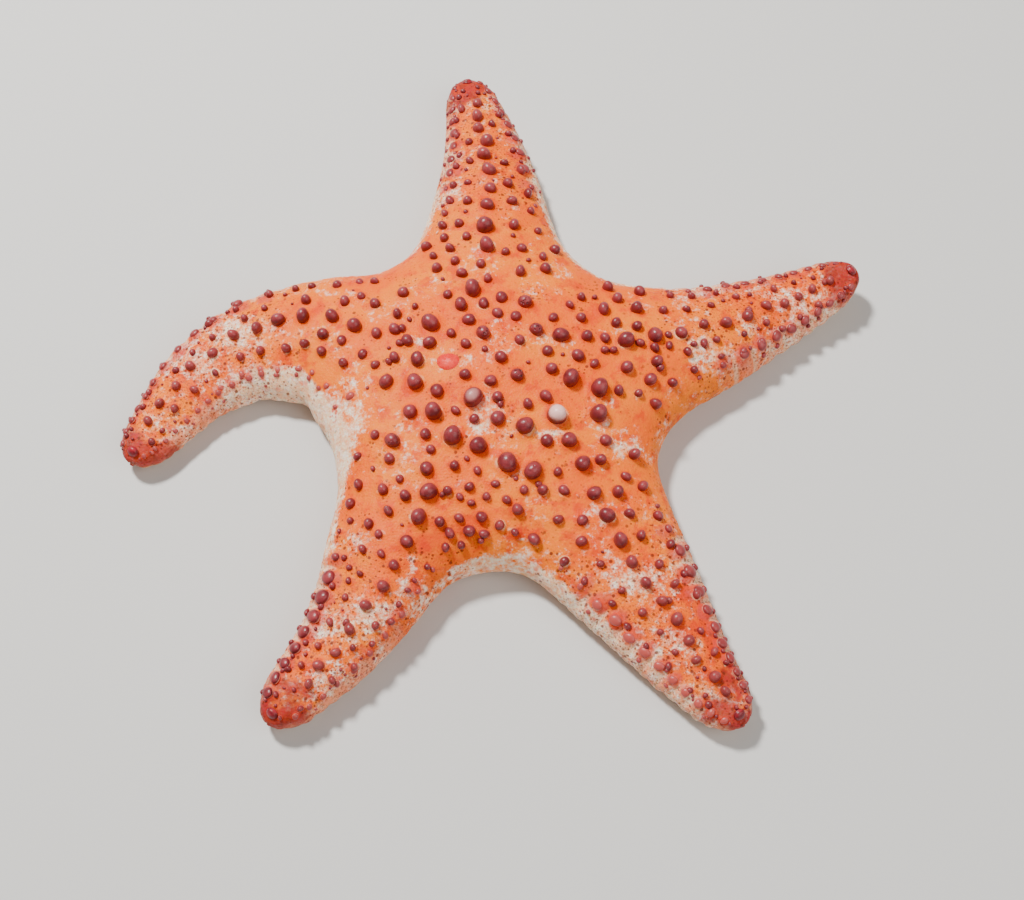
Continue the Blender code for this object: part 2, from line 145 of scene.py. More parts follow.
# how much they stand out, by arm and side, and how pink their knobs are
EDGE_BOLD = ((0.8, 0.7), (0.8, 0.8), (0.8, 0.45), (1.0, 0.5), (0.8, 0.9))
EDGE_PINK = ((0.2, 0.3), (0.2, 0.2), (0.2, 0.5), (0.0, 0.5), (0.9, 0.2))
COLUMNS = 44  # quads from crest to edge at the widest
UNDER_COLUMNS = 24
ROW_STEP = 0.62
WELD = 1e-6  # corners closer than this are one, metres
SHARED_ROWS = 58.0  # all arms share their rows to here
CLOSE_ROWS = (0.0, 0.02, 0.08, 0.22, 0.5)  # rows just inside the axils
MAP_HALF = 122.0  # half size of the map that the finish is baked on, mm
UNDER_MAP = 0.32  # share of it for the underside, and for the top
TOP_MAP = 0.65
UNDER_LIFT = 0.30  # height of the underside over the floor, before its relief


def smooth(u):
    """Rise from 0 to 1 with flat ends."""
    u = np.clip(u, 0.0, 1.0)
    return u * u * (3.0 - 2.0 * u)


def hump(offset, width):
    """1 where the offset is 0, falling away to both sides."""
    return np.exp(-((offset / width) ** 2))


def turned(u, v, angle):
    """A step u ahead and v to the left, as x and y, where ahead is at an angle in degrees."""
    a = radians(angle)
    return u * cos(a) - v * sin(a), u * sin(a) + v * cos(a)


# ---- shape of the body (mm)
def half_gap(index, side):
    apart = ARMS[(index + side) % 5].heading - ARMS[index].heading
    return radians((apart * side) % 360.0) / 2.0


def axil(index, side):
    """Half gap, and the point of the edge where the arm meets its neighbour."""
    beta = half_gap(index, side)
    radius = AXILS[index if side > 0 else (index - 1) % 5]
    return beta, radius * cos(beta), radius * sin(beta)


def end_round(arm, x):
    start = arm.reach - END_LENGTH * arm.tip
    u = np.clip((x - start) / (arm.reach - start), 0.0, 1.0)
    return np.sqrt(np.maximum(1.0 - u * u, 0.0))


def edge(index, side, x):
    """Half width beyond the axil."""
    arm = ARMS[index]
    beta, x_axil, w_axil = axil(index, side)
    base = arm.ccw if side > 0 else arm.cw
    slope = (base - arm.tip) / (arm.reach - x_axil)
    flare = w_axil - base
    fall = flare / (1.0 / tan(beta) - slope)
    width = base - slope * (x - x_axil) + flare * np.exp(-(x - x_axil) / fall)
    return width * end_round(arm, x)


def reach_across(index, side, x):
    """(half width that belongs to this arm, half width that sets its cross-section)."""
    beta, x_axil, w_axil = axil(index, side)
    power = 1.0 / sin(beta) ** 2
    outer = edge(index, side, np.maximum(x, x_axil))
    inner = w_axil * (np.clip(x, 1e-3, x_axil) / x_axil) ** (1.0 - power)
    inside = x < x_axil
    return np.where(inside, x * tan(beta), outer), np.where(inside, inner, outer)


def crest_height(x, y):
    out = np.minimum(np.hypot(x, y) / CREST_REACH, 1.0)
    return DISC_TOP - (DISC_TOP - ARM_TOP) * out ** CREST_POWER


def margin_height(x, y):
    out = smooth((np.hypot(x, y) - MARGIN_FROM) / MARGIN_OVER)
    return MARGIN_HEIGHT + (MARGIN_TIP - MARGIN_HEIGHT) * out


def tip_lift(arm, x):
    return arm.lift * np.maximum((x - arm.reach) / LIFT_OVER + 1.0, 0.0) ** 2


def crest_line(arm, x):
    near, far = arm.crest
    share = np.clip((x - CREST_SETTLED) / (arm.reach - CREST_SETTLED), 0.0, 1.0)
    start, length = CREST_BEND
    return (near + (far - near) * share) * smooth((x - start) / length)


def crest_shift(arm, x):
    return crest_line(arm, x) * smooth((x - CUT) / CREST_EASE) * end_round(arm, x)


def across_at(index, side, x, share):
    """Place across an arm, at a share of the way from its crest to its edge."""
    shift = crest_shift(ARMS[index], x)
    return shift + side * share * (reach_across(index, side, x)[0] - side * shift)


def top_height(index, side, x, share):
    """Place across and height of the upper surface."""
    arm = ARMS[index]
    full = reach_across(index, side, x)[1]
    shift = crest_shift(arm, x)
    across = across_at(index, side, x, share)
    inward = np.minimum(np.abs(across - shift) / np.maximum(full - side * shift, 1e-9), 1.0)
    domed = np.maximum(1.0 - inward ** SECTION_ROUND, 0.0) ** (1.0 / SECTION_ROUND)
    low = margin_height(x, across)
    rise = (crest_height(x, across) - low) * domed * end_round(arm, x)
    return across, low + rise + tip_lift(arm, x)


def under_height(index, side, x, across):
    """Height of the underside."""
    arm = ARMS[index]
    own, full = reach_across(index, side, x)
    inward = np.minimum(np.abs(across) / np.maximum(full, 1e-9), 1.0)
    u = np.maximum((inward - FLAT_SHARE) / (1.0 - FLAT_SHARE), 0.0)
    curl = 1.0 - np.sqrt(np.maximum(1.0 - u * u, 0.0))
    low = margin_height(x, across)
    base = UNDER_LIFT + (low - UNDER_LIFT) * (1.0 - (1.0 - curl) * end_round(arm, x))
    wide = np.maximum(np.minimum(GROOVE_HALF, 0.5 * own), 1e-6)
    lip = 1.0 - smooth(np.abs(across) / wide)
    furrow = GROOVE_DEPTH * lip * smooth(x / GROOVE_START) * end_round(arm, x)
    mouth = MOUTH_DEPTH * (1.0 - smooth(np.hypot(x, across) / MOUTH_RADIUS))
    return base + np.maximum(furrow, mouth) + tip_lift(arm, x)


def midline(arm):
    """Stations along an arm's midline: distance, x, y, heading."""
    s = np.arange(0.0, arm.reach + 2.0, MIDLINE_STEP)
    turn = sum(deg * smooth((s - a) / (b - a)) for a, b, deg in arm.bends)
    heading = np.radians(arm.heading + turn)
    mean = 0.5 * (heading[1:] + heading[:-1])
    px, py = (np.concatenate(([0.0], np.cumsum(MIDLINE_STEP * f(mean)))) for f in (np.cos, np.sin))
    return s, px, py, heading


MIDLINES = [midline(arm) for arm in ARMS]


def placed(index, x, y, z):
    """Points given along, across and above an arm, in metres on the model."""
    s, px, py, heading = MIDLINES[index]
    turn = np.interp(x, s, heading)
    wx = STAR_CENTRE[0] + np.interp(x, s, px) - np.sin(turn) * y
    wy = STAR_CENTRE[1] + np.interp(x, s, py) + np.cos(turn) * y
    return np.stack(np.broadcast_arrays(wx, wy, z), axis=-1) * MM


# ---- where the knobs stand
def top_at(index, x, y):
    shift = crest_shift(ARMS[index], x)
    side = 1 if y >= shift else -1
    own = reach_across(index, side, x)[0]
    share = side * (y - shift) / max(own - side * shift, 1e-6)
    return top_height(index, side, x, min(share, 1.0))[1]


def on_skin(index, x, y):
    """Point and outward direction of the upper surface."""
    d = SLOPE_STEP
    around = ((0.0, 0.0), (d, 0.0), (-d, 0.0), (0.0, d), (0.0, -d))
    here, ahead, behind, left, right = (
        placed(index, x + a, y + b, top_at(index, x + a, y + b)) for a, b in around)
    return Vector(here), Vector(np.cross(ahead - behind, left - right)).normalized()


def from_bearing(bearing, distance):
    """Arm, and place along and across it, of a point on the disc."""
    found = []
    for index, arm in enumerate(ARMS):
        off = radians((bearing - arm.heading + 180.0) % 360.0 - 180.0)
        found.append((abs(off) / half_gap(index, 1 if off >= 0 else -1), index, off))
    _, index, off = min(found)
    return index, distance * cos(off), distance * sin(off)


def crest_places(rng, index):
    arm = ARMS[index]
    x = CREST_FROM
    while x < arm.reach - CREST_END:
        share = (x - CREST_FROM) / (arm.reach - CREST_FROM)
        width = CREST_WIDE + (CREST_FINE - CREST_WIDE) * share
        y = crest_line(arm, x) + rng.uniform(-CREST_STRAY, CREST_STRAY)
        yield x, y, width * rng.uniform(*CREST_SIZES)
        x += CREST_STEP * (1.0 - CREST_CLOSE * share) * rng.uniform(*CREST_STEPS)


def side_places(rng, index):
    reach = REACHES[index]
    start, later, chance = SIDE_FROM
    for side in (-1, 1):
        for lane in SIDE_SHARES:
            x = start + later * lane + rng.uniform(0.0, chance)
            while x < reach - SIDE_END:
                share = x / reach
                y = across_at(index, side, x, lane) + rng.uniform(-SIDE_STRAY, SIDE_STRAY)
                width = SIDE_WIDE + (SIDE_FINE - SIDE_WIDE) * share
                yield x, y, width * rng.uniform(*SIDE_SIZES) * (1.0 - SIDE_SHRINK * lane)
                x += SIDE_STEP * (1.0 - SIDE_CLOSE * share) * rng.uniform(*SIDE_STEPS)


class Spots:
    """Knobs placed so far, each with clear skin round it."""

    def __init__(self):
        self.plate = placed(*from_bearing(*MADREPORITE[:2]), 0.0)[:2] / MM
        self.kept = []
        self.at = np.zeros((0, 2))
        self.wide = np.zeros(0)

    def offer(self, index, x, y, width, keep):
        at = placed(index, x, y, 0.0)[:2] / MM
        if np.hypot(*(at - self.plate)) < 0.5 * width + 0.5 * MADREPORITE[2] + PLATE_CLEAR:
            return
        room = np.hypot(*(self.at - at).T) - 0.5 * (width + self.wide)
        if len(room) and room.min() <= keep:
            return
        self.kept.append((index, float(x), float(y), float(width)))
        self.at = np.vstack((self.at, at))
        self.wide = np.append(self.wide, width)


def large_knobs(spots):
    """The knobs that the solids carry, by the same rules, in the same places."""
    rng = random.Random(SEED)
    wanted = [from_bearing(bearing, distance) + (width,) for bearing, distance, width in DISC_KNOBS]
    for places in (crest_places, side_places):
        for index in range(5):
            wanted += [(index,) + place for place in places(rng, index)]
    late = [abs(x - CUT) <= 0.5 * width + CUT_CLEAR for _, x, _, width in wanted]
    for turn in (False, True):
        for place, waits in zip(wanted, late):
            if waits == turn:
                spots.offer(*place, KNOB_KEEP)


def scatter(spots, rng, count, widths, clear):
    """Knobs in the free skin; clear is the gap round each at the star's middle and at an arm's end."""
    near, far = clear
    for _ in range(count):
        index = rng.randrange(5)
        reach = REACHES[index]
        x = 4.0 + (reach - 10.0) * rng.random() ** 0.7
        side = rng.choice((-1, 1))
        y = across_at(index, side, x, rng.uniform(0.0, 0.62 if x > EDGE_FROM else 0.74))
        if abs(y) / reach_across(index, side, x)[1] > 0.72 and x < SHARED_ROWS:
            continue
        out = x / reach
        width = rng.uniform(*widths) * (1.24 - 0.58 * out)
        spots.offer(index, x, y, width, near + (far - near) * out)


def tip_knobs(spots, rng):
    """The ends of the arms are crowded with small knobs."""
    for index, reach in enumerate(REACHES):
        for _ in range(TIP_KNOBS):
            x = reach - rng.uniform(2.0, 19.0)
            side = rng.choice((-1, 1))
            own = reach_across(index, side, x)[0]
            spots.offer(index, x, side * rng.uniform(0.0, 0.8) * own, rng.uniform(*TIP_RANGE), TIP_CLEAR)


def crowded_knobs(spots, rng):
    for bearing, distance, along, across, turn, tries, clear in CROWDS:
        middle = radians(bearing)
        for _ in range(tries):
            u, v = turned(along * rng.uniform(-1.0, 1.0), across * rng.uniform(-1.0, 1.0), turn)
            x, y = distance * cos(middle) + u, distance * sin(middle) + v
            index, x, y = from_bearing(degrees(atan2(y, x)), hypot(x, y))
            width = rng.uniform(*CROWD_RANGE)
            if abs(y) < CROWD_SHARE * reach_across(index, 1 if y > 0.0 else -1, x)[1]:
                spots.offer(index, x, y, width, clear)


def small_knobs(spots):
    """The knobs that are only shown here, in the clear skin between the large ones."""
    crowded_knobs(spots, random.Random(SEED + 5))
    rng = random.Random(SEED + 1)
    scatter(spots, rng, MIDDLE_KNOBS, MIDDLE_RANGE, MIDDLE_CLEAR)
    tip_knobs(spots, rng)
    scatter(spots, rng, SMALL_KNOBS, SMALL_RANGE, SMALL_CLEAR)


def plate_phase(x):
    """Counts the edge plates along an arm, so that each whole number is a groove."""
    beyond = np.maximum(x - EDGE_FROM, 0.0)
    closer = -np.log(np.maximum(1.0 - EDGE_CLOSE * beyond / EDGE_STEP, 0.05)) / EDGE_CLOSE
    return np.where(x < EDGE_FROM, (x - EDGE_FROM) / EDGE_STEP, closer)


def plate_place(phase):
    """The distance along the arm at which plate_phase has this value."""
    if phase < 0.0:
        return EDGE_FROM + EDGE_STEP * phase
    return EDGE_FROM + EDGE_STEP * (1.0 - exp(-EDGE_CLOSE * phase)) / EDGE_CLOSE


def plate_mound(x, shift=0.0):
    """0 in the groove between two edge plates and 1 on the middle of one."""
    return np.abs(np.sin(pi * (plate_phase(x) + shift))) ** 0.55


def by_side(table, index, side):
    """The values that a table by arm and side has for these."""
    return np.array(table)[np.asarray(index, dtype=int), (np.asarray(side, dtype=int) + 1) // 2]


def plate_strength(index, side, x):
    """How much the edge plates stand out; they flatten at an arm's end."""
    fade = 1.0 - 0.8 * smooth((x - np.array(REACHES)[np.asarray(index, dtype=int)] + 10.0) / 7.0)
    return smooth((x - EDGE_FROM + 14.0) / 22.0) * by_side(EDGE_BOLD, index, side) * fade


def edge_lift(index, side, x, share):
    """Height of the swollen upper edge plates over the plain skin."""
    return (plate_mound(x) - 0.30) * smooth((share - 0.60) / 0.12) * plate_strength(index, side, x)


def edge_places():
    """Knobs along the edge plates: (arm, side, along, share, width, height factor, pink)."""
    rng = random.Random(SEED + 2)
    for index, reach in enumerate(REACHES):
        for side in (-1, 1):
            strong = float(by_side(EDGE_BOLD, index, side))
            pink = float(by_side(EDGE_PINK, index, side))
            for number in range(-4 if (index, side) == FAINT_SIDE else -1, 14):
                x = plate_place(number + 0.5)
                if x > reach - 3.0:
                    break
                step = EDGE_STEP - EDGE_CLOSE * max(x - EDGE_FROM, 0.0)
                out = float(smooth((x - EDGE_FROM + 2.0) / 16.0))
                wide = (0.62 + 0.6 * (strong - 0.8)) * step
                width = 1.4 + (wide - 1.4) * out * strong * rng.uniform(0.85, 1.1)
                end = float(smooth((x - reach + 14.0) / 10.0))
                share = 0.75 - 0.06 * end + rng.uniform(-0.02, 0.02)
                yield index, side, x, share, width, 0.70 - 0.24 * out, pink
                if rng.random() < 0.8 * out * strong:
                    yield index, side, x + rng.uniform(-0.8, 0.8), 0.90, 0.50 * width, 0.70, 0.5 * pink
                if out > 0.5 and rng.random() < 0.45:
                    yield index, side, x + 0.40 * step, 0.70, 0.45 * width, 0.80, 0.0


# ---- soft variation, worked out from waves
def waves(points, size, seed, count=14):
    """A smooth field of about -1 to 1 over points in mm, with humps about size mm across."""
    rng = np.random.RandomState(seed)
    total = np.zeros(len(points))
    for _ in range(count):
        way = rng.normal(size=points.shape[1])
        way *= rng.uniform(0.6, 1.5) * pi / size / np.linalg.norm(way)
        total += np.sin(points @ way + rng.uniform(0.0, 2.0 * pi))
    return total / sqrt(0.75 * count)


# ---- the skin's mesh
def disc_rows():
    """Rows shared by all five arms out to past the axils, closer where the edge falls away."""
    axils = [axil(i, 1)[1] for i in range(5)]
    rows = {round(x - d, 6) for x in axils for d in CLOSE_ROWS} | set(axils)
    for x in np.arange(ROW_STEP, SHARED_ROWS, ROW_STEP):
        if min(abs(x - r) for r in rows) > 0.30:
            rows.add(float(x))
    rows = [0.0] + sorted(rows)
    return rows[:1] + [b for a, b in zip(rows, rows[1:]) if b - a > 0.004]


def arm_rows(arm):
    """Rows of one arm from there to its rounded end."""
    start = arm.reach - END_LENGTH * arm.tip
    first = SHARED_ROWS + 0.2
    rows = list(np.linspace(first, start, int((start - first) / ROW_STEP)))
    turns = np.linspace(0.0, 0.5 * pi, 16)[1:]
    return rows + [start + (arm.reach - start) * sin(t) for t in turns]


def columns_at(x, most):
    if x < 7.0:
        return most // 4
    return most // 2 if x < 20.0 or x > SHARED_ROWS else most


def top_line(index, side, x, count):
    share = np.sin(0.5 * pi * np.arange(count + 1) / count)
    return top_height(index, side, np.full(count + 1, x), share)


def under_line(index, side, x, count):
    """Stations across the underside, closer in the furrow and towards the edge."""
    own = float(reach_across(index, side, x)[0])
    wide = 1.25 * max(min(GROOVE_HALF, 0.5 * own), 1e-6)
    t = np.arange(count + 1) / count
    outer = wide + (own - wide) * np.sin(0.5 * pi * np.clip((t - 0.3) / 0.7, 0.0, 1.0))
    across = np.where(t < 0.3, wide * t / 0.3, outer)
    z = under_height(index, side, np.full(count + 1, x), side * across)
    if x >= axil(index, side)[1] - 1e-6:
        z[-1] = top_height(index, side, x, 1.0)[1]
    return side * across, z


def sheet(index, side, rows, most, line, under):
    """One sheet of the skin: points with their place on the arm, and faces."""
    points, places, faces, starts = [], [], [], []
    for x in rows:
        count = columns_at(x, most)
        across, z = line(index, side, x, count)
        own, full = reach_across(index, side, x)
        shift = 0.0 if under else crest_shift(ARMS[index], x)
        inward = np.abs(across - shift) / max(full - side * shift, 1e-6)
        starts.append((sum(len(p) for p in points), count))
        points.append(placed(index, np.full(count + 1, x), across, z))
        places.append([(index, side, x, a, min(e, 1.0), float(own)) for a, e in zip(across, inward)])
    turn = (side > 0) != under
    for (a, n), (b, m) in zip(starts, starts[1:]):
        for ring in ring_faces(a, n, b, m):
            faces.append(ring if turn else ring[::-1])
    return np.concatenate(points), sum(places, []), faces


def ring_faces(a, n, b, m):
    """Faces between two rows of n and m quads, one row possibly twice as fine."""
    faces = []
    for j in range(min(n, m)):
        if n == m:
            faces.append((a + j, b + j, b + j + 1, a + j + 1))
        elif m > n:
            k = b + 2 * j
            faces += [(a + j, k, k + 1), (a + j, k + 1, a + j + 1), (a + j + 1, k + 1, k + 2)]
        else:
            k = a + 2 * j
            faces += [(k, b + j, k + 1), (k + 1, b + j, b + j + 1), (k + 1, b + j + 1, k + 2)]
    return faces


def gather(parts):
    """Joins sheets into one closed mesh, welding the corners that coincide."""
    points = np.concatenate([p for p, _, _ in parts])
    places = np.array(sum([q for _, q, _ in parts], []))
    faces, sheets, base = [], [], 0
    for number, (p, _, f) in enumerate(parts):
        faces += [tuple(i + base for i in face) for face in f]
        sheets += [number % 2] * len(f)
        base += len(p)
    keys = np.round(points / WELD).astype(np.int64)
    _, first, back = np.unique(keys, axis=0, return_index=True, return_inverse=True)
    back = back.reshape(-1).tolist()
    rings = [list(dict.fromkeys(back[i] for i in face)) for face in faces]
    kept = [ring for ring in rings if len(ring) > 2]
    under = [low for ring, low in zip(rings, sheets) if len(ring) > 2]
    return points[first], places[first], kept, np.array(under, dtype=bool)


def skin_parts():
    shared = disc_rows()
    parts = []
    for index, arm in enumerate(ARMS):
        rows = shared + arm_rows(arm)
        for side in (-1, 1):
            parts.append(sheet(index, side, rows, COLUMNS, top_line, False))
            parts.append(sheet(index, side, rows, UNDER_COLUMNS, under_line, True))
    return parts


def normals_of(mesh):
    normals = np.empty(len(mesh.vertices) * 3)
    mesh.vertices.foreach_get("normal", normals)
    return normals.reshape(-1, 3)


# ---- relief of the skin
def collar_lift(points, knobs):
    """Skin drawn up round the foot of each knob, and how near each point is to one."""
    lift = np.zeros(len(points))
    near = np.full(len(points), 9.0)
    for at, _, width, *_ in knobs:
        room = np.abs(points - at).max(axis=1) < 1.3 * width
        gone = np.linalg.norm(points[room] - at, axis=1) / (0.5 * width)
        lift[room] = np.maximum(lift[room], 0.13 * width * (1.0 - smooth((gone - 0.9) / 0.95)))
        near[room] = np.minimum(near[room], gone)
    return lift, near


def skin_relief(points, place, under_point, knobs):
    """Height to add along the normal, in mm, and closeness to a knob."""
    index, side, x, across, share, _ = place.T
    lift, near = collar_lift(points, knobs)
    rise = 0.16 * waves(points, 15.0, 3) + 0.07 * waves(points, 4.0, 4)
    rise += edge_lift(index, side, x, share)
    low = (1.3 * plate_mound(x, 0.5) - 0.3) * smooth((share - 0.84) / 0.08) * plate_strength(index, side, x)
    low += 0.10 * waves(points, 3.0, 5) * smooth((share - 0.5) / 0.2)
    low += 0.25 * hump(np.abs(across) - GROOVE_HALF - 0.5, 0.7) * smooth((x - 8.0) / 5.0)
    both = smooth((share - 0.955) / 0.045)
    mean = 0.5 * (rise + low)
    rise, low = rise + (mean - rise) * both, low + (mean - low) * both
    return np.where(under_point, low, rise + lift), near


# ---- markings
# pale patches: (bearing, distance, half length, half width, lean, strength)
PALE_PATCHES = (
    (161, 19, 8, 3.5, 150, 0.80), (190, 6, 7, 3.0, 20, 0.62), (308, 27, 8, 4.0, 160, 0.92),
    (264, 17, 5, 3.0, 20, 0.80), (330, 45, 8, 6.5, 60, 0.80), (331, 36, 5, 4.0, 100, 0.62),
    (8, 59, 6, 4.0, 20, 1.00), (13, 77, 9, 3.6, 25, 0.72), (235, 59, 7, 3.2, 0, 0.95),
    (251, 64, 9, 4.5, 75, 0.80), (259, 68, 8, 3.6, 60, 0.75), (278, 51, 7, 3.4, 0, 0.78),
    (298, 88, 9, 6.0, 140, 0.95), (307, 85, 6, 4.0, 120, 0.55), (199, 42, 10, 6.5, 115, 1.00),
    (190, 36, 8, 4.5, 110, 0.60), (240, 80, 10, 4.0, 60, 0.52), (165, 46, 9, 3.4, 170, 0.56),
    (75, 12, 6, 3.0, 10, 0.50), (100, 62, 9, 5.0, 60, 0.85), (82, 84, 8, 4.0, 100, 0.70),
    (60, 38, 8, 4.0, 150, 0.60), (30, 48, 7, 4.0, 120, 0.60), (355, 50, 6, 5.0, 90, 0.55),
    (272, 12, 8, 5.5, 0, 0.62), (46, 6, 9, 4.5, 10, 0.62), (25, 20, 9, 4.0, 170, 0.60),
    (166, 65, 12, 5.0, 170, 0.62), (182, 80, 10, 6.0, 75, 0.62), (302, 62, 12, 6.0, 130, 0.58),
    (306, 50, 9, 5.0, 20, 0.54),
)
# deep orange-red patches, in the same terms
RED_PATCHES = (
    (310, 92, 17, 4.2, 122, 0.95), (256, 32, 4, 4.0, 0, 0.55), (283, 46, 8, 4.0, 20, 0.60),
    (204, 54, 6, 4.0, 95, 0.55), (128, 46, 12, 6.0, 20, 0.45), (320, 12, 6, 4.0, 40, 0.30),
    (226, 54, 5, 4.0, 60, 0.50), (258, 88, 7, 3.0, 60, 0.65), (90, 40, 9, 8.0, 0, 0.40),
    (352, 56, 6, 5.0, 0, 0.50), (253, 51, 10, 6.5, 30, 0.72), (236, 62, 10, 5.0, 60, 0.50),
)
# pale bands along the edges, by arm and side: (reach along the arm, width, strength)
PALE_BANDS = {
    (0, -1): (72, 2.6, 0.62), (0, 1): (88, 3.4, 0.80), (1, -1): (96, 3.2, 0.84), (1, 1): (92, 3.2, 0.84),
    (2, -1): (88, 3.0, 0.78), (2, 1): (96, 7.5, 1.00), (3, -1): (82, 3.2, 0.95), (3, 1): (74, 2.4, 0.84),
    (4, -1): (98, 3.0, 0.96), (4, 1): (58, 2.4, 0.54),
}
BAND_FROM = 22.0  # where the bands begin, and how long they take to become each side's own
BAND_SHARED = 18.0
PALE_ARMS = (0.52, 0.42, 0.50, 0.54, 0.64)  # how mottled the outer part of each arm is


def patch_field(points, patches):
    """How strongly a set of oval patches covers each point, seen from above."""
    left = np.ones(len(points))
    flat = points[:, :2] - np.array(STAR_CENTRE)
    for bearing, distance, long, wide, lean, strength in patches:
        u, v = turned(*(flat - np.array(turned(distance, 0.0, bearing))).T, -lean)
        left *= 1.0 - strength * np.exp(-0.9 * ((u / long) ** 2 + (v / wide) ** 2))
    return 1.0 - left


def band_field(points, place):
    """How strongly the pale edge bands cover each point; two neighbours' bands meet in the axil."""
    cover = np.zeros(len(place))
    index, side, x, _, share, own = place.T
    ragged = 7.0 * waves(points, 11.0, 26)
    for (arm, which), (end, far_width, far_strength) in PALE_BANDS.items():
        _, other_width, other_strength = PALE_BANDS[(arm + which) % 5, -which]
        x_axil = axil(arm, which)[1]
        joined = 0.5 * (1.0 - smooth((x - x_axil) / BAND_SHARED))
        width = far_width + (other_width - far_width) * joined
        strength = far_strength + (other_strength - far_strength) * joined
        local = np.minimum(own, 15.0 + 0.8 * np.maximum(x - x_axil, 0.0))
        inset = (1.0 - share) * np.where(x < x_axil, 15.0, local)
        along = smooth((x - BAND_FROM) / 8.0) * smooth((end + ragged - x) / 24.0)
        value = strength * along * (1.0 - smooth((inset - 0.55 * width) / (0.8 * width)))
        cover = np.where((index == arm) & (side == which), np.maximum(cover, value), cover)
    return cover


def markings(points, place, under_point, near):
    """Named fields of 0 to 1 over the skin."""
    index, side, x, across, share, own = place.T
    arm = index.astype(int)
    out = x / np.array(REACHES)[arm]
    drift = points + 1.6 * np.stack([waves(points, 5.0, s) for s in (21, 22, 23)], axis=1)
    mottled = np.array(PALE_ARMS)[arm] * smooth((out - 0.34) / 0.28) * (1.0 + 0.35 * waves(points, 9.0, 25))
    pale = np.maximum(np.maximum(patch_field(drift, PALE_PATCHES), band_field(points, place)), mottled)
    red = patch_field(drift, RED_PATCHES)
    plates = smooth((share - 0.66 + 0.07 * waves(points, 9.0, 27)) / 0.20)
    plates *= smooth((x - EDGE_FROM + 18.0 + 8.0 * waves(points, 13.0, 28)) / 52.0)
    inset = (1.0 - share) * np.minimum(own, 22.0)
    off_plate, off_rim = (np.mod(plate_phase(x) + shift, 1.0) - 0.5 for shift in (0.0, 0.5))
    start = smooth((x - 26.0) / 8.0) * smooth((waves(points, 10.0, 29) + 0.75) / 0.9)
    outer = smooth((x - EDGE_FROM + 6.0) / 14.0) * by_side(EDGE_BOLD, index, side)
    middle = np.hypot(x, across)
    furrow = (1.0 - smooth((np.abs(across) - 0.9) / 1.7)) * smooth((middle - 2.0) / 4.0)
    return dict(
        pale=pale * (1.0 - 0.75 * red),
        red=red,
        tip=smooth((out - 0.82 + 0.03 * waves(points, 6.0, 24)) / 0.16),
        plates=plates,
        specks=smooth((out - 0.38) / 0.3) * 0.66 + 0.34,
        below=under_point * (1.0 - smooth((share - 0.80) / 0.2)),
        # foot: closeness to a knob; it places the pale halos and the painted shadow round the knobs' feet
        foot=1.0 - smooth((near - 1.0) / 0.55),
        blush=start * hump(off_plate, 0.27) * hump(inset - 4.6, 2.0),
        rust=start * hump(off_rim, 0.30) * hump(share - 0.985, 0.030),
        stain=outer * hump(off_plate, 0.44) * hump(share - 0.70, 0.17),
        rim=outer * hump(off_rim, 0.17) * smooth((share - 0.64) / 0.14),
        # furrow and mouth: where painted shade darkens the furrows and the mouth
        furrow=furrow * under_point,
        mouth=(1.0 - smooth((middle - 2.2) / 2.6)) * under_point,
    )


# ---- making the pieces
def in_scene(name, data):
    thing = bpy.data.objects.new(name, data)
    bpy.context.scene.collection.objects.link(thing)
    return thing


def new_piece(name, points, faces, mat):
    """A smooth-shaded mesh object from points in mm."""
    mesh = bpy.data.meshes.new(name)
    mesh.from_pydata((np.asarray(points) * MM).tolist(), [], faces)
    mesh.update()
    mesh.polygons.foreach_set("use_smooth", [True] * len(mesh.polygons))
    mesh.materials.append(mat)
    piece = in_scene(name, mesh)
    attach(piece, "root")
    return piece


def add_field(mesh, name, values):
    layer = mesh.attributes.new(name, "FLOAT", "POINT")
    layer.data.foreach_set("value", np.asarray(values, dtype=np.float32))


def add_map(mesh, plan, under=None):
    """The UV map that the finish is baked on, from a plan position in mm for each point."""
    ids = np.empty(len(mesh.loops), dtype=np.int64)
    mesh.loops.foreach_get("vertex_index", ids)
    u, v = ((plan[ids] + MAP_HALF) / (2.0 * MAP_HALF)).T
    if under is not None:
        v = np.where(under, UNDER_MAP * v, 1.0 - TOP_MAP + TOP_MAP * v)
    layer = mesh.uv_layers.new(name="OFBake")
    layer.data.foreach_set("uv", np.stack([u, v], axis=1).astype(np.float32).reshape(-1))


def make_skin(mat, knobs):
    points, place, faces, under = gather(skin_parts())
    points = points / MM
    draft = bpy.data.meshes.new("draft")
    draft.from_pydata(points.tolist(), [], faces)
    draft.update()
    normals = normals_of(draft)
    bpy.data.meshes.remove(draft)
    touched = np.zeros((2, len(points)), dtype=bool)
    for ring, below in zip(faces, under):
        touched[int(below), ring] = True
    under_point = touched[1] & ~touched[0]
    lift, near = skin_relief(points, place, under_point, knobs)
    skin = new_piece("skin", points + normals * lift[:, None], faces, mat)
    for name, values in markings(points, place, under_point.astype(float), near).items():
        add_field(skin.data, name, values)
    # on the map the skin is moved outwards where it falls away, so that it keeps some area
    top = np.where(under_point, points[:, 2], crest_height(place[:, 2], place[:, 3]))
    drop = np.maximum(top - points[:, 2], 0.0)
    plan = points[:, :2] + 0.5 * normals[:, :2] * drop[:, None]
    add_map(skin.data, plan, np.repeat(under, [len(ring) for ring in faces]))
    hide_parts("disc", *("arm_" + arm.name for arm in ARMS))


def local_axes(axis, side):
    """Rows of a frame that stands along an axis, with one side turned the given way."""
    side = (side - axis * side.dot(axis)).normalized()
    return np.array((side, axis.cross(side), axis))


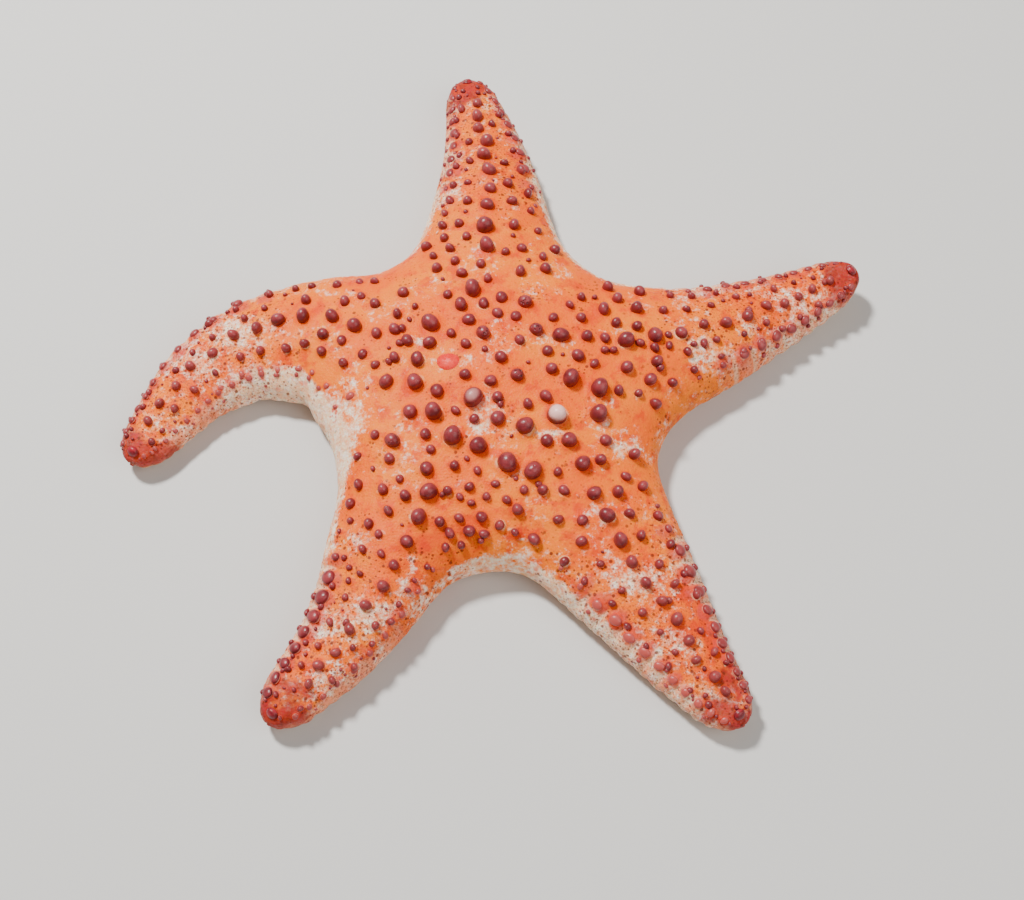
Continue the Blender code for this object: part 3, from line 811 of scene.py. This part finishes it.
def ring_body(base, rings, steps):
    """Faces of a closed body of rings from its root to the point at its crown."""
    faces = []
    for k in range(rings - 1):
        low, high = base + k * steps, base + (k + 1) * steps
        for i in range(steps):
            j = (i + 1) % steps
            faces.append((low + i, low + j, high + j, high + i))
    last = base + (rings - 1) * steps
    faces += [(last + i, last + (i + 1) % steps, last + steps) for i in range(steps)]
    return faces + [tuple(base + i for i in range(steps))[::-1]]


class Cluster:
    """Many small turned bodies gathered into one mesh, each closed."""

    def __init__(self):
        self.points, self.faces, self.uv, self.count = [], [], [], 0
        self.fields = {}

    def add(self, at, axis, profile, wide, tall, steps, side=None, oval=1.0, wobble=0.0, bend=(0.0, 0.0),
            **fields):
        """profile: (radius, height) from root to crown, as shares of the width and height in mm."""
        side = side or Vector((0.3, 0.9, 0.2))
        profile = [(r * wide, h * tall) for r, h in profile]
        a = 2.0 * pi * np.arange(steps) / steps
        out = 1.0 + wobble * (np.sin(2 * a + fields.get("tint", 0.0) * 9.0) + 0.8 * np.sin(3 * a + at[0]))
        top = profile[-1][1]
        rings = []
        for radius, height in profile[:-1]:
            lean = max(height / top, 0.0) ** 2
            x = radius * out * oval * np.cos(a) + bend[0] * lean
            y = radius * out / oval * np.sin(a) + bend[1] * lean
            rings.append(np.stack([x, y, np.full(steps, height)], axis=1))
        rings.append(np.array([[bend[0], bend[1], top]]))
        self.points.append(np.array(at) + np.concatenate(rings) @ local_axes(axis, side))
        self.faces += ring_body(self.count, len(rings) - 1, steps)
        size = len(self.points[-1])
        self.count += size
        fields["rise"] = [max(h / top, 0.0) for _, h in profile[:-1] for _ in range(steps)] + [1.0]
        for name, value in fields.items():
            value = value if isinstance(value, list) else [value] * size
            self.fields.setdefault(name, []).extend(value)
        circle = np.stack([np.cos(a), np.sin(a)], axis=1) * max(r for r, _ in profile)
        patch = [r * circle for r in np.linspace(1.10, 0.08, len(profile) - 1)] + [np.zeros((1, 2))]
        self.uv.append(np.array(at)[:2] + np.concatenate(patch))

    def make(self, name, mat, roughen=0.0, least=None):
        points = np.concatenate(self.points)
        if least is not None:
            points[:, 2] = np.maximum(points[:, 2], least)
        if roughen:
            points = points + roughen * waves(points, 1.6, 31)[:, None]
        piece = new_piece(name, points, self.faces, mat)
        for field, values in self.fields.items():
            add_field(piece.data, field, values)
        add_map(piece.data, np.concatenate(self.uv))
        return piece


# profile of a knob from its root to its crown: (radius, height), as shares of its width and rise
KNOB_PROFILE = (
    (0.46, -0.38), (0.535, -0.03), (0.510, 0.07), (0.498, 0.20), (0.492, 0.34), (0.472, 0.50),
    (0.430, 0.65), (0.360, 0.785), (0.262, 0.90), (0.140, 0.972), (0.0, 1.0),
)


def make_knobs(mat, knobs):
    """The large knobs as one piece and the small ones as another, each a closed dome sunk in the skin."""
    rng = random.Random(SEED + 3)
    large, small = Cluster(), Cluster()
    for at, axis, width, worn, kind, pink in knobs:
        steps = 20 if width > 3.4 else 16 if width > SMALL_WIDTH else 11
        rise = KNOB_RISE * width * rng.uniform(0.90, 1.12) * kind
        oval = 1.0 + (0.10 if width > 3.0 else 0.15) * rng.random()
        turn = rng.uniform(0, 2.0 * pi)
        side = Vector((cos(turn), sin(turn), 0.0))
        domes = large if width > SMALL_WIDTH else small
        domes.add(at, axis, KNOB_PROFILE, width, rise, steps, side, oval, 0.03, (0.05 * width, 0.0),
                  worn=worn, pink=pink, tint=rng.random())
    for domes, name in ((large, "knobs"), (small, "small_knobs")):
        domes.make(name, mat, 0.025)


def faint(index, x, y):
    """How low and pink a knob is, from 0 to 1: on one arm's pale inner side they hardly stand out."""
    arm, side = FAINT_SIDE
    own = float(reach_across(index, side, x)[0])
    return (index == arm) * float(smooth((side * y / own - 0.48) / 0.10) * smooth((x - 28.0) / 6.0))


def all_knobs():
    """Every knob as (point, axis, width, worn, height factor, pink), the large ones first."""
    rng = random.Random(SEED + 4)
    spots = Spots()
    large_knobs(spots)
    count = len(spots.kept)
    small_knobs(spots)
    found = []
    for number, (index, x, y, width) in enumerate(spots.kept):
        at, axis = on_skin(index, x, y)
        axis = (axis + Vector((0.0, 0.0, KNOB_UPRIGHT))).normalized()
        worn = WORN_KNOBS.get(number, rng.uniform(0.0, 0.3) if rng.random() < 0.10 else 0.0)
        low = faint(index, x, y)
        less = 1.0 - FAINT_LOW * low
        pink = max(0.85 * low, 0.22 * float(smooth((x / REACHES[index] - 0.5) / 0.3)) * (width > 2.5))
        slim = 1.0 - (1.0 - SLIM_KNOBS[index]) * float(smooth((x - CUT + 6.0) / 14.0))
        width *= (1.0 - 0.28 * low) * slim
        found.append((at / MM, axis, width, worn, (1.0 if number < count else 0.90) * less, pink))
        if number >= len(DISC_KNOBS) and width > 2.4 and rng.random() < TWINS:
            turn = rng.uniform(0.0, 2.0 * pi)
            at, axis = on_skin(index, x + 0.62 * width * cos(turn), y + 0.62 * width * sin(turn))
            found.append((at / MM, axis, 0.66 * width, 0.0, 0.95 * less, pink))
    for index, side, x, share, width, tall, pink in edge_places():
        at, axis = on_skin(index, x, across_at(index, side, x, share))
        at = at / MM + axis * float(edge_lift(index, side, x, share))
        found.append((at, axis, width, 0.0, tall, pink))
    return found


# ---- sieve plate, arm ends and underside
PLATE_RINGS = 22
PLATE_STEPS = 96
PLATE_RISE = 0.95
PLATE_SUNK = 0.25  # how far its rim lies below the skin
PLATE_ROOT = 0.9
FURROWS = 30  # furrows round the sieve plate


def make_sieve_plate(mat):
    """The low oval plate by which the animal takes in water, with its fine winding furrows."""
    _, _, long, wide = MADREPORITE
    at, axis = on_skin(*from_bearing(*MADREPORITE[:2]))
    a = 2.0 * pi * np.arange(PLATE_STEPS) / PLATE_STEPS
    rim = 1.0 + 0.03 * np.sin(2 * a + 1.0) + 0.025 * np.sin(3 * a)
    rings = []
    for r in np.linspace(1.0, 0.0, PLATE_RINGS)[:-1]:
        swirl = FURROWS * a + 2.0 * np.sin(5 * a + 6.0 * r) + 3.0 * r
        depth = 0.07 * smooth((r - 0.12) / 0.2) * (1.0 - smooth((r - 0.9) / 0.1))
        z = PLATE_RISE * (1.0 - r ** 2.6) - PLATE_SUNK - depth * np.sin(swirl)
        x, y = 0.5 * long * r * rim * np.cos(a), 0.5 * wide * r * rim * np.sin(a)
        rings.append(np.stack([x, y, z], axis=1))
    foot = rings[0].copy()
    foot[:, 2] = -PLATE_ROOT
    points = np.concatenate([foot] + rings + [np.array([[0.0, 0.0, PLATE_RISE - PLATE_SUNK]])])
    points = np.array(at / MM) + points @ local_axes(axis, Vector((1.0, -0.10, 0.0)))
    piece = new_piece("sieve_plate", points, ring_body(0, PLATE_RINGS, PLATE_STEPS), mat)
    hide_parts("madreporite")


FOOT_STEP = 2.5  # spacing of the tube feet along a furrow
FOOT_WIDE = 0.92
FOOT_OUT = 0.36  # how far from the midline, as a share of the furrow
FOOT_PROFILE = (
    (0.50, 0.0), (0.50, 0.25), (0.44, 0.5), (0.40, 0.75), (0.42, 0.86), (0.56, 0.90), (0.60, 0.95),
    (0.52, 0.995), (0.25, 0.985), (0.0, 0.96),
)
SPINE_STEP = 1.35  # spacing of the spines along a furrow's edge
SPINE_OUT = 0.86  # how far from the midline, as a share of the furrow
SPINE_WIDE = 0.72
SPINE_LONG = 1.5
SPINE_SUNK = 0.4
SPINE_LEAST = 0.05  # lowest point of a spine over the floor
ORAL_SPINES = 5  # on each jaw
ORAL_LONG = 3.0
ORAL_WIDE = 0.95
ORAL_ROOT = (5.6, 1.3)  # how far out from the mouth's middle they stand, and how high
SPINE_PROFILE = ((0.42, 0.0), (0.46, 0.35), (0.45, 0.6), (0.40, 0.82), (0.26, 0.95), (0.0, 1.0))


def in_furrow(index, x, y, height):
    return Vector(placed(index, x, y, height)) / MM


def furrow_points(index, step, start, end_gap):
    """(distance along the arm, side, half width of the furrow) at even steps, both sides in turn."""
    x = start
    while x < REACHES[index] - end_gap:
        half = min(GROOVE_HALF, 0.5 * float(reach_across(index, 1, x)[0]))
        yield x, -1, half
        yield x, 1, half
        x += step


def make_tube_feet(mat):
    """Two rows of short tube feet with sucker ends in each furrow."""
    rng = random.Random(SEED + 5)
    feet = Cluster()
    for index in range(5):
        for x, side, half in furrow_points(index, FOOT_STEP, 9.0, 7.0):
            x = x + (0.5 * FOOT_STEP if side > 0 else 0.0)
            y = side * FOOT_OUT * half
            at = in_furrow(index, x, y, float(under_height(index, side, x, y)) - 0.3)
            tall = at[2] - rng.uniform(0.25, 0.9)
            wide = FOOT_WIDE * min(1.0, half / GROOVE_HALF) * rng.uniform(0.85, 1.05)
            axis = Vector((rng.uniform(-0.08, 0.08), rng.uniform(-0.08, 0.08), -1.0)).normalized()
            feet.add(at, axis, FOOT_PROFILE, wide, tall, 12, tint=rng.random(),
                     bend=(rng.uniform(-0.2, 0.2), rng.uniform(-0.2, 0.2)))
    feet.make("tube_feet", mat)


def make_spines(mat):
    """Blunt spines that lean over each furrow from its edges, and a fan of them on each jaw."""
    rng = random.Random(SEED + 6)
    spines = Cluster()
    for index in range(5):
        for x, side, half in furrow_points(index, SPINE_STEP, 7.5, 3.5):
            y = side * SPINE_OUT * half
            base = float(under_height(index, side, x, y))
            root = in_furrow(index, x, y, base)
            inward = (in_furrow(index, x, 0.0, base) - root).normalized()
            axis = (Vector((0.0, 0.0, -1.0)) * rng.uniform(0.10, 0.3) + inward).normalized()
            share = half / GROOVE_HALF
            long = SPINE_LONG * rng.uniform(0.85, 1.05) * share
            root -= axis * SPINE_SUNK
            spines.add(root, axis, SPINE_PROFILE, SPINE_WIDE * share, long, 9, tint=rng.random())
        middle = half_gap(index, 1) + radians(ARMS[index].heading)
        for number in range(ORAL_SPINES):
            turn = (number - 0.5 * (ORAL_SPINES - 1)) / ORAL_SPINES
            a, aim = middle + 0.55 * turn, middle + 0.30 * turn
            out, high = ORAL_ROOT
            root = Vector((STAR_CENTRE[0] + out * cos(a), STAR_CENTRE[1] + out * sin(a), high))
            axis = Vector((-cos(aim), -sin(aim), -0.12)).normalized()
            long = ORAL_LONG * (1.0 - 0.5 * abs(turn))
            spines.add(root, axis, SPINE_PROFILE, ORAL_WIDE, long, 9, tint=rng.random())
    spines.make("furrow_spines", mat, least=SPINE_LEAST)


END_PLATE = (2.6, 3.0, 1.1)  # place back from the arm's end, width and rise
EYE_SPOT = (0.5, 1.3, 0.6)
EYE_HEIGHT = 3.2


def make_arm_ends(mat):
    """The smooth plate at each arm's end, with the red eye spot under it."""
    ends = Cluster()
    for index, arm in enumerate(ARMS):
        back, wide, rise = END_PLATE
        x = arm.reach - back
        at, axis = on_skin(index, x, 0.0)
        ahead = Vector(placed(index, arm.reach, 0.0, 0.0)) - Vector(placed(index, x, 0.0, 0.0))
        way = ahead.normalized()
        ends.add(at / MM, (axis + way * 0.8).normalized(), KNOB_PROFILE, wide, rise, 24, ahead, 0.95,
                 tint=0.9, eye=0.0)
        back, wide, rise = EYE_SPOT
        spot = in_furrow(index, arm.reach - back, 0.0, EYE_HEIGHT + float(tip_lift(arm, x)))
        ends.add(spot, (way + Vector((0.0, 0.0, -0.4))).normalized(), KNOB_PROFILE, wide, rise, 14,
                 tint=0.5, eye=1.0)
    ends.make("arm_ends", mat)


# ---- shader building blocks
COLOUR_A, COLOUR_B, COLOUR_OUT = 6, 7, 2  # the Mix node's sockets for colours


class Shader:
    """Short names for the nodes of one material."""

    def __init__(self, name, rough, spec):
        self.mat = bpy.data.materials.new(name)
        self.mat.use_nodes = True
        self.tree = self.mat.node_tree
        self.out = self.tree.nodes["Principled BSDF"]
        self.fill(self.out, {"Roughness": rough, "Specular IOR Level": spec})
        self.coords = self.node("TexCoord", {}, "Object")

    def fill(self, node, values):
        """Links or sets a node's inputs; a tuple is a colour."""
        for key, value in values.items():
            if isinstance(value, (int, float)):
                node.inputs[key].default_value = value
            elif isinstance(value, tuple):
                node.inputs[key].default_value = value + (1.0,)
            elif value is not None:
                self.tree.links.new(value, node.inputs[key])

    def node(self, kind, values, out=0, **settings):
        node = self.tree.nodes.new("ShaderNode" + kind)
        for name, value in settings.items():
            setattr(node, name, value)
        self.fill(node, values)
        return node.outputs[out]

    def field(self, name):
        return self.node("Attribute", {}, "Fac", attribute_name=name)

    def noise(self, scale, detail=4.0, rough=0.55, distortion=0.0):
        values = {"Vector": self.coords, "Scale": scale, "Detail": detail, "Roughness": rough,
                  "Distortion": distortion}
        return self.node("TexNoise", values, "Fac")

    def cells(self, scale, feature="F1", out="Distance"):
        return self.node("TexVoronoi", {"Vector": self.coords, "Scale": scale}, out, feature=feature)

    def calc(self, operation, a, b):
        return self.node("Math", {0: a, 1: b}, operation=operation)

    def times(self, a, b):
        return self.calc("MULTIPLY", a, b)

    def rest(self, share):
        return self.calc("SUBTRACT", 1.0, share)

    def step(self, value, low, high):
        """0 below low, 1 above high and smooth between; low above high turns it round."""
        turned = float(low > high)
        values = {"Value": value, "From Min": min(low, high), "From Max": max(low, high),
                  "To Min": turned, "To Max": 1.0 - turned}
        return self.node("MapRange", values, interpolation_type="SMOOTHSTEP")

    def ragged(self, field, noise, amount):
        """A field with its edges made ragged by noise."""
        return self.calc("ADD", field, self.times(self.calc("SUBTRACT", noise, 0.5), amount))

    def patch(self, name, noise, amount, low, high):
        """Where a named field stands out, with ragged edges."""
        return self.step(self.ragged(self.field(name), noise, amount), low, high)

    def blend(self, share, a, b):
        return self.node("Mix", {"Factor": share, COLOUR_A: a, COLOUR_B: b}, COLOUR_OUT, data_type="RGBA")

    def coat(self, colour, over, mask, strength):
        """A colour with another laid over it where the mask says, as strongly as given."""
        return self.blend(self.times(mask, strength), colour, over)

    def bump(self, height, depth, below=None):
        return self.node("Bump", {"Strength": 1.0, "Distance": depth, "Height": height, "Normal": below})

    def finish(self, colour, normal=None, glow=0.0, radius=(0.0012, 0.0004, 0.0002)):
        self.fill(self.out, {"Base Color": colour, "Normal": normal, "Subsurface Weight": glow,
                             "Subsurface Scale": 1.0})
        self.out.inputs["Subsurface Radius"].default_value = radius
        return self.mat


# ---- colours (linear)
ORANGE = (0.93, 0.132, 0.0005)
ORANGE_LIGHT = (0.98, 0.205, 0.003)
# ORANGE_DEEP is both the colour of the deeper orange patches and the painted shadow round the knobs' feet
ORANGE_DEEP = (0.74, 0.036, 0.001)
CREAM = (1.0, 0.68, 0.42)
CREAM_WHITE = (1.0, 0.90, 0.76)
CREAM_PINK = (0.90, 0.32, 0.20)
PLATE_PINK = (0.98, 0.36, 0.20)
BLUSH = (0.72, 0.100, 0.070)
GRIT = (0.40, 0.055, 0.016)
STAIN = (0.60, 0.060, 0.055)
TIP_RED = (0.38, 0.011, 0.024)
TIP_DARK = (0.23, 0.007, 0.015)
SPECK = (0.16, 0.022, 0.010)
UNDER = (0.90, 0.36, 0.10)
UNDER_PALE = (0.96, 0.58, 0.26)
# painted shade for the furrows and the mouth underneath
FURROW_SHADE = (0.86, 0.24, 0.06)
MOUTH_SHADE = (0.30, 0.035, 0.018)
MAROON = (0.165, 0.006, 0.012)
# lit maroon of the knobs' crowns, a painted highlight, also laid on at random as tint
MAROON_HIGHLIGHT_AND_TINT = (0.31, 0.040, 0.046)
KNOB_PINK = (0.50, 0.075, 0.060)
MAROON_DARK = (0.080, 0.003, 0.008)
WORN = (0.92, 0.52, 0.46)
SIEVE = (0.76, 0.020, 0.014)
SIEVE_LIGHT = (0.88, 0.065, 0.040)
FOOT_COLOUR = (0.95, 0.50, 0.13)
SUCKER = (0.95, 0.76, 0.50)
RUST = (0.50, 0.105, 0.022)
EYE = (0.42, 0.010, 0.008)


def skin_colour(s, broad, middle, fine, streaks):
    """The upper side: orange, with redder patches, cream mottling, pink edges and crimson tips."""
    colour = s.blend(s.step(broad, 0.40, 0.62), ORANGE, ORANGE_LIGHT)
    colour = s.coat(colour, ORANGE_DEEP, s.step(middle, 0.48, 0.66), 0.72)
    colour = s.coat(colour, ORANGE_DEEP, s.patch("red", middle, 0.9, 0.30, 0.75), 0.85)
    margin = s.step(s.ragged(s.ragged(s.field("plates"), middle, 0.8), streaks, 1.0), 0.22, 0.90)
    colour = s.coat(colour, PLATE_PINK, margin, 0.72)
    flecks = s.times(s.step(s.noise(62.0, 2.0), 0.42, 0.62), 0.42)
    field = s.calc("MAXIMUM", s.times(s.field("pale"), 0.86), flecks)
    pale = s.step(s.ragged(s.ragged(field, streaks, 1.6), fine, 0.55), 0.40, 0.84)
    cream = s.blend(s.step(streaks, 0.46, 0.62), CREAM, CREAM_WHITE)
    cream = s.coat(cream, CREAM_PINK, s.step(fine, 0.52, 0.74), 0.8)
    cream = s.coat(cream, CREAM_PINK, s.step(s.cells(300.0), 0.34, 0.14), s.step(middle, 0.44, 0.60))
    granules = s.step(s.cells(1150.0), 0.62, 0.30)
    cream = s.coat(cream, BLUSH, s.times(s.patch("blush", middle, 0.9, 0.34, 0.66), granules), 0.85)
    colour = s.coat(colour, cream, pale, 0.94)
    crimson = s.blend(s.step(s.noise(300.0, 3.0), 0.42, 0.60), TIP_RED, TIP_DARK)
    for name, noise, amount, low, high, over, strength in (
            ("rust", middle, 1.3, 0.50, 0.80, RUST, 0.42),
            ("rim", fine, 0.6, 0.30, 0.80, CREAM, 0.55),
            ("stain", middle, 0.9, 0.12, 0.56, STAIN, 0.66),
            ("tip", middle, 1.2, 0.35, 0.90, crimson, 0.85)):
        colour = s.coat(colour, over, s.patch(name, noise, amount, low, high), strength)
    return colour


def under_colour(s, broad, fine, plates):
    """The underside: paler, tiled, with painted shade that turns the furrows deeper orange and the mouth
    dark.
    """
    under = s.blend(s.step(s.ragged(broad, fine, 0.5), 0.36, 0.62), UNDER_PALE, CREAM)
    under = s.coat(under, UNDER, s.step(plates, 0.12, 0.02), 0.55)
    # painted shade: the furrows made deeper orange
    under = s.coat(under, FURROW_SHADE, s.field("furrow"), 0.85)
    # painted shade: the mouth made dark
    return s.blend(s.field("mouth"), under, MOUTH_SHADE)


def speckled(s, colour, streaks):
    """Fine grit and dark specks on the upper side, and the skin at the feet of the knobs: a pale halo round
    some, and painted shadow in deep orange round the others.
    """
    specks, above = s.field("specks"), s.rest(s.field("below"))
    dots = 0.0
    for scale in (560.0, 960.0):
        pick = s.step(s.cells(scale, out="Color"), 0.46, 0.58)
        dots = s.calc("MAXIMUM", dots, s.times(s.step(s.cells(scale), 0.34, 0.18), pick))
    where = s.calc("ADD", s.noise(150.0, 3.0), s.times(specks, 0.50))
    dots = s.times(s.times(dots, s.step(where, 0.58, 0.86)), above)
    grit = s.times(s.step(s.noise(1500.0, 3.0, 0.6), 0.50, 0.63), s.calc("POWER", specks, 1.8))
    colour = s.coat(colour, GRIT, s.times(grit, above), 0.66)
    colour = s.coat(colour, SPECK, dots, 0.85)
    pale_foot = s.step(s.noise(95.0, 2.0), 0.55, 0.66)
    halo = s.times(s.patch("foot", streaks, 1.5, 0.35, 1.15), pale_foot)
    colour = s.coat(colour, CREAM, halo, 0.60)
    # painted shadow: deep orange laid round the foot of each knob that has no pale halo
    return s.coat(colour, ORANGE_DEEP, s.times(s.field("foot"), s.rest(pale_foot)), 0.65)


def skin_material():
    s = Shader("living_skin", 0.46, 0.10)
    broad, middle, fine = s.noise(55.0, 3.0), s.noise(210.0, 5.0, 0.6), s.noise(900.0, 4.0, 0.6)
    streaks = s.noise(480.0, 8.0, 0.74, 0.25)
    plates = s.cells(330.0, "DISTANCE_TO_EDGE")
    colour = skin_colour(s, broad, middle, fine, streaks)
    colour = s.blend(s.field("below"), colour, under_colour(s, broad, fine, plates))
    tiles = s.times(s.step(plates, 0.0, 0.16), s.field("below"))
    grain = s.bump(tiles, 0.00035, s.bump(s.cells(1500.0), 0.00010))
    folds = s.bump(s.noise(500.0, 5.0, 0.6), 0.00026, grain)
    return s.finish(speckled(s, colour, streaks), folds, 0.30, (0.0022, 0.0006, 0.0002))


def knob_material():
    s = Shader("knob_plate", 0.35, 0.42)
    middle, fine = s.noise(330.0, 3.0, 0.5), s.noise(1500.0, 3.0, 0.6)
    rise, wear = s.field("rise"), s.field("worn")
    # painted highlight: each knob is blended from MAROON at its root to a lit maroon at its crown, as if lit
    # from above
    colour = s.blend(s.step(rise, 0.30, 1.0), MAROON, MAROON_HIGHLIGHT_AND_TINT)
    colour = s.coat(colour, MAROON_DARK, s.step(middle, 0.60, 0.38), 0.6)
    # the same lit maroon laid on at random, a tint that differs from knob to knob
    colour = s.coat(colour, MAROON_HIGHLIGHT_AND_TINT, s.field("tint"), 0.35)
    colour = s.blend(s.field("pink"), colour, KNOB_PINK)
    colour = s.coat(colour, CREAM_PINK, s.patch("rise", middle, 0.14, 0.10, 0.02), 0.75)
    worn = s.times(wear, rise)
    pitted = s.times(s.step(worn, 0.20, 0.34), s.step(s.cells(1100.0), 0.44, 0.24))
    pitted = s.times(pitted, s.step(wear, 0.49, 0.46))
    dull = s.times(s.step(rise, 0.70, 1.0), s.step(wear, 0.46, 0.49))
    colour = s.coat(colour, MAROON_DARK, pitted, 0.7)
    colour = s.coat(colour, WORN, dull, 0.32)
    colour = s.blend(s.step(s.ragged(worn, fine, 0.12), 0.46, 0.80), colour, WORN)
    grain = s.bump(s.cells(1900.0), 0.00003, s.bump(s.times(pitted, -1.0), 0.00025))
    s.fill(s.out, {"Sheen Weight": 0.06, "Sheen Roughness": 0.4})
    return s.finish(colour, grain, 0.05)


def sieve_material():
    s = Shader("sieve_plate", 0.42, 0.25)
    colour = s.blend(s.step(s.noise(420.0, 5.0), 0.38, 0.66), SIEVE, SIEVE_LIGHT)
    return s.finish(colour, s.bump(s.noise(1500.0, 4.0), 0.00012), 0.15)


def spine_material():
    s = Shader("furrow_spine", 0.5, 0.4)
    colour = s.blend(s.patch("rise", s.noise(600.0), 0.4, 0.2, 0.9), UNDER, CREAM)
    colour = s.coat(colour, CREAM_PINK, s.field("tint"), 0.3)
    return s.finish(colour, s.bump(s.noise(1400.0), 0.0001), 0.15)


def foot_material():
    s = Shader("tube_foot", 0.32, 0.5)
    colour = s.blend(s.patch("rise", s.noise(700.0), 0.2, 0.80, 0.95), FOOT_COLOUR, SUCKER)
    colour = s.coat(colour, ORANGE, s.field("tint"), 0.25)
    return s.finish(colour, s.bump(s.noise(1100.0), 0.00012), 0.30)


def end_material():
    s = Shader("arm_end", 0.38, 0.5)
    colour = s.blend(s.step(s.noise(500.0, 3.0), 0.4, 0.65), MAROON, TIP_RED)
    colour = s.blend(s.field("eye"), colour, EYE)
    return s.finish(colour, s.bump(s.noise(1300.0), 0.00006), 0.1)


# ---- stage
AIM = (3.9, -21.0)  # the point of the floor that the camera looks at, mm
CAMERA_RISE = 66.0
CAMERA_AWAY = 400.0
FLOOR_HALF = 12.0  # metres
FLOOR_COLOUR = (0.66, 0.655, 0.64)
SOFT_WHITE = (1.0, 0.98, 0.95)
SKY_STRENGTH = 0.26
LIGHTS = (  # name, place in metres, width and power
    ("key", (-0.34, 0.36, 0.80), 0.14, 15.4),
    ("fill", (0.55, -0.35, 0.65), 0.9, 4.6),
)


def make_stage():
    mesh = bpy.data.meshes.new("floor")
    size = FLOOR_HALF
    mesh.from_pydata([(-size, -size, 0.0), (size, -size, 0.0), (size, size, 0.0), (-size, size, 0.0)],
                     [], [(0, 1, 2, 3)])
    mesh.materials.append(Shader("pale_floor", 0.85, 0.2).finish(FLOOR_COLOUR))
    floor = in_scene("floor", mesh)


def stand(thing, place, way):
    """Puts a light or a camera in place, looking along a direction."""
    thing.location = place
    thing.rotation_mode = "QUATERNION"
    thing.rotation_quaternion = way.to_track_quat("-Z", "Y")


def make_lights():
    for name, place, size, power in LIGHTS:
        data = bpy.data.lights.new(name, "AREA")
        data.shape = "DISK"
        data.size = size
        data.energy = power
        data.color = SOFT_WHITE
        stand(in_scene(name, data), place, -Vector(place))
    world = bpy.data.worlds.new("soft_sky")
    world.use_nodes = True
    sky = world.node_tree.nodes["Background"]
    sky.inputs["Color"].default_value = SOFT_WHITE + (1.0,)
    sky.inputs["Strength"].default_value = SKY_STRENGTH
    bpy.context.scene.world = world


def make_camera():
    data = bpy.data.cameras.new("camera")
    data.lens = 50.0
    data.sensor_width = 36.0
    data.clip_start = 0.01
    camera = in_scene("camera", data)
    rise = radians(CAMERA_RISE)
    back = Vector((0.0, -cos(rise), sin(rise)))
    stand(camera, Vector((AIM[0], AIM[1], 0.0)) * MM + back * CAMERA_AWAY * MM, -back)
    bpy.context.scene.camera = camera


make_camera()
make_stage()
make_lights()
knobs = all_knobs()
make_skin(skin_material(), knobs)
make_knobs(knob_material(), knobs)
make_sieve_plate(sieve_material())
make_arm_ends(end_material())
make_tube_feet(foot_material())
make_spines(spine_material())
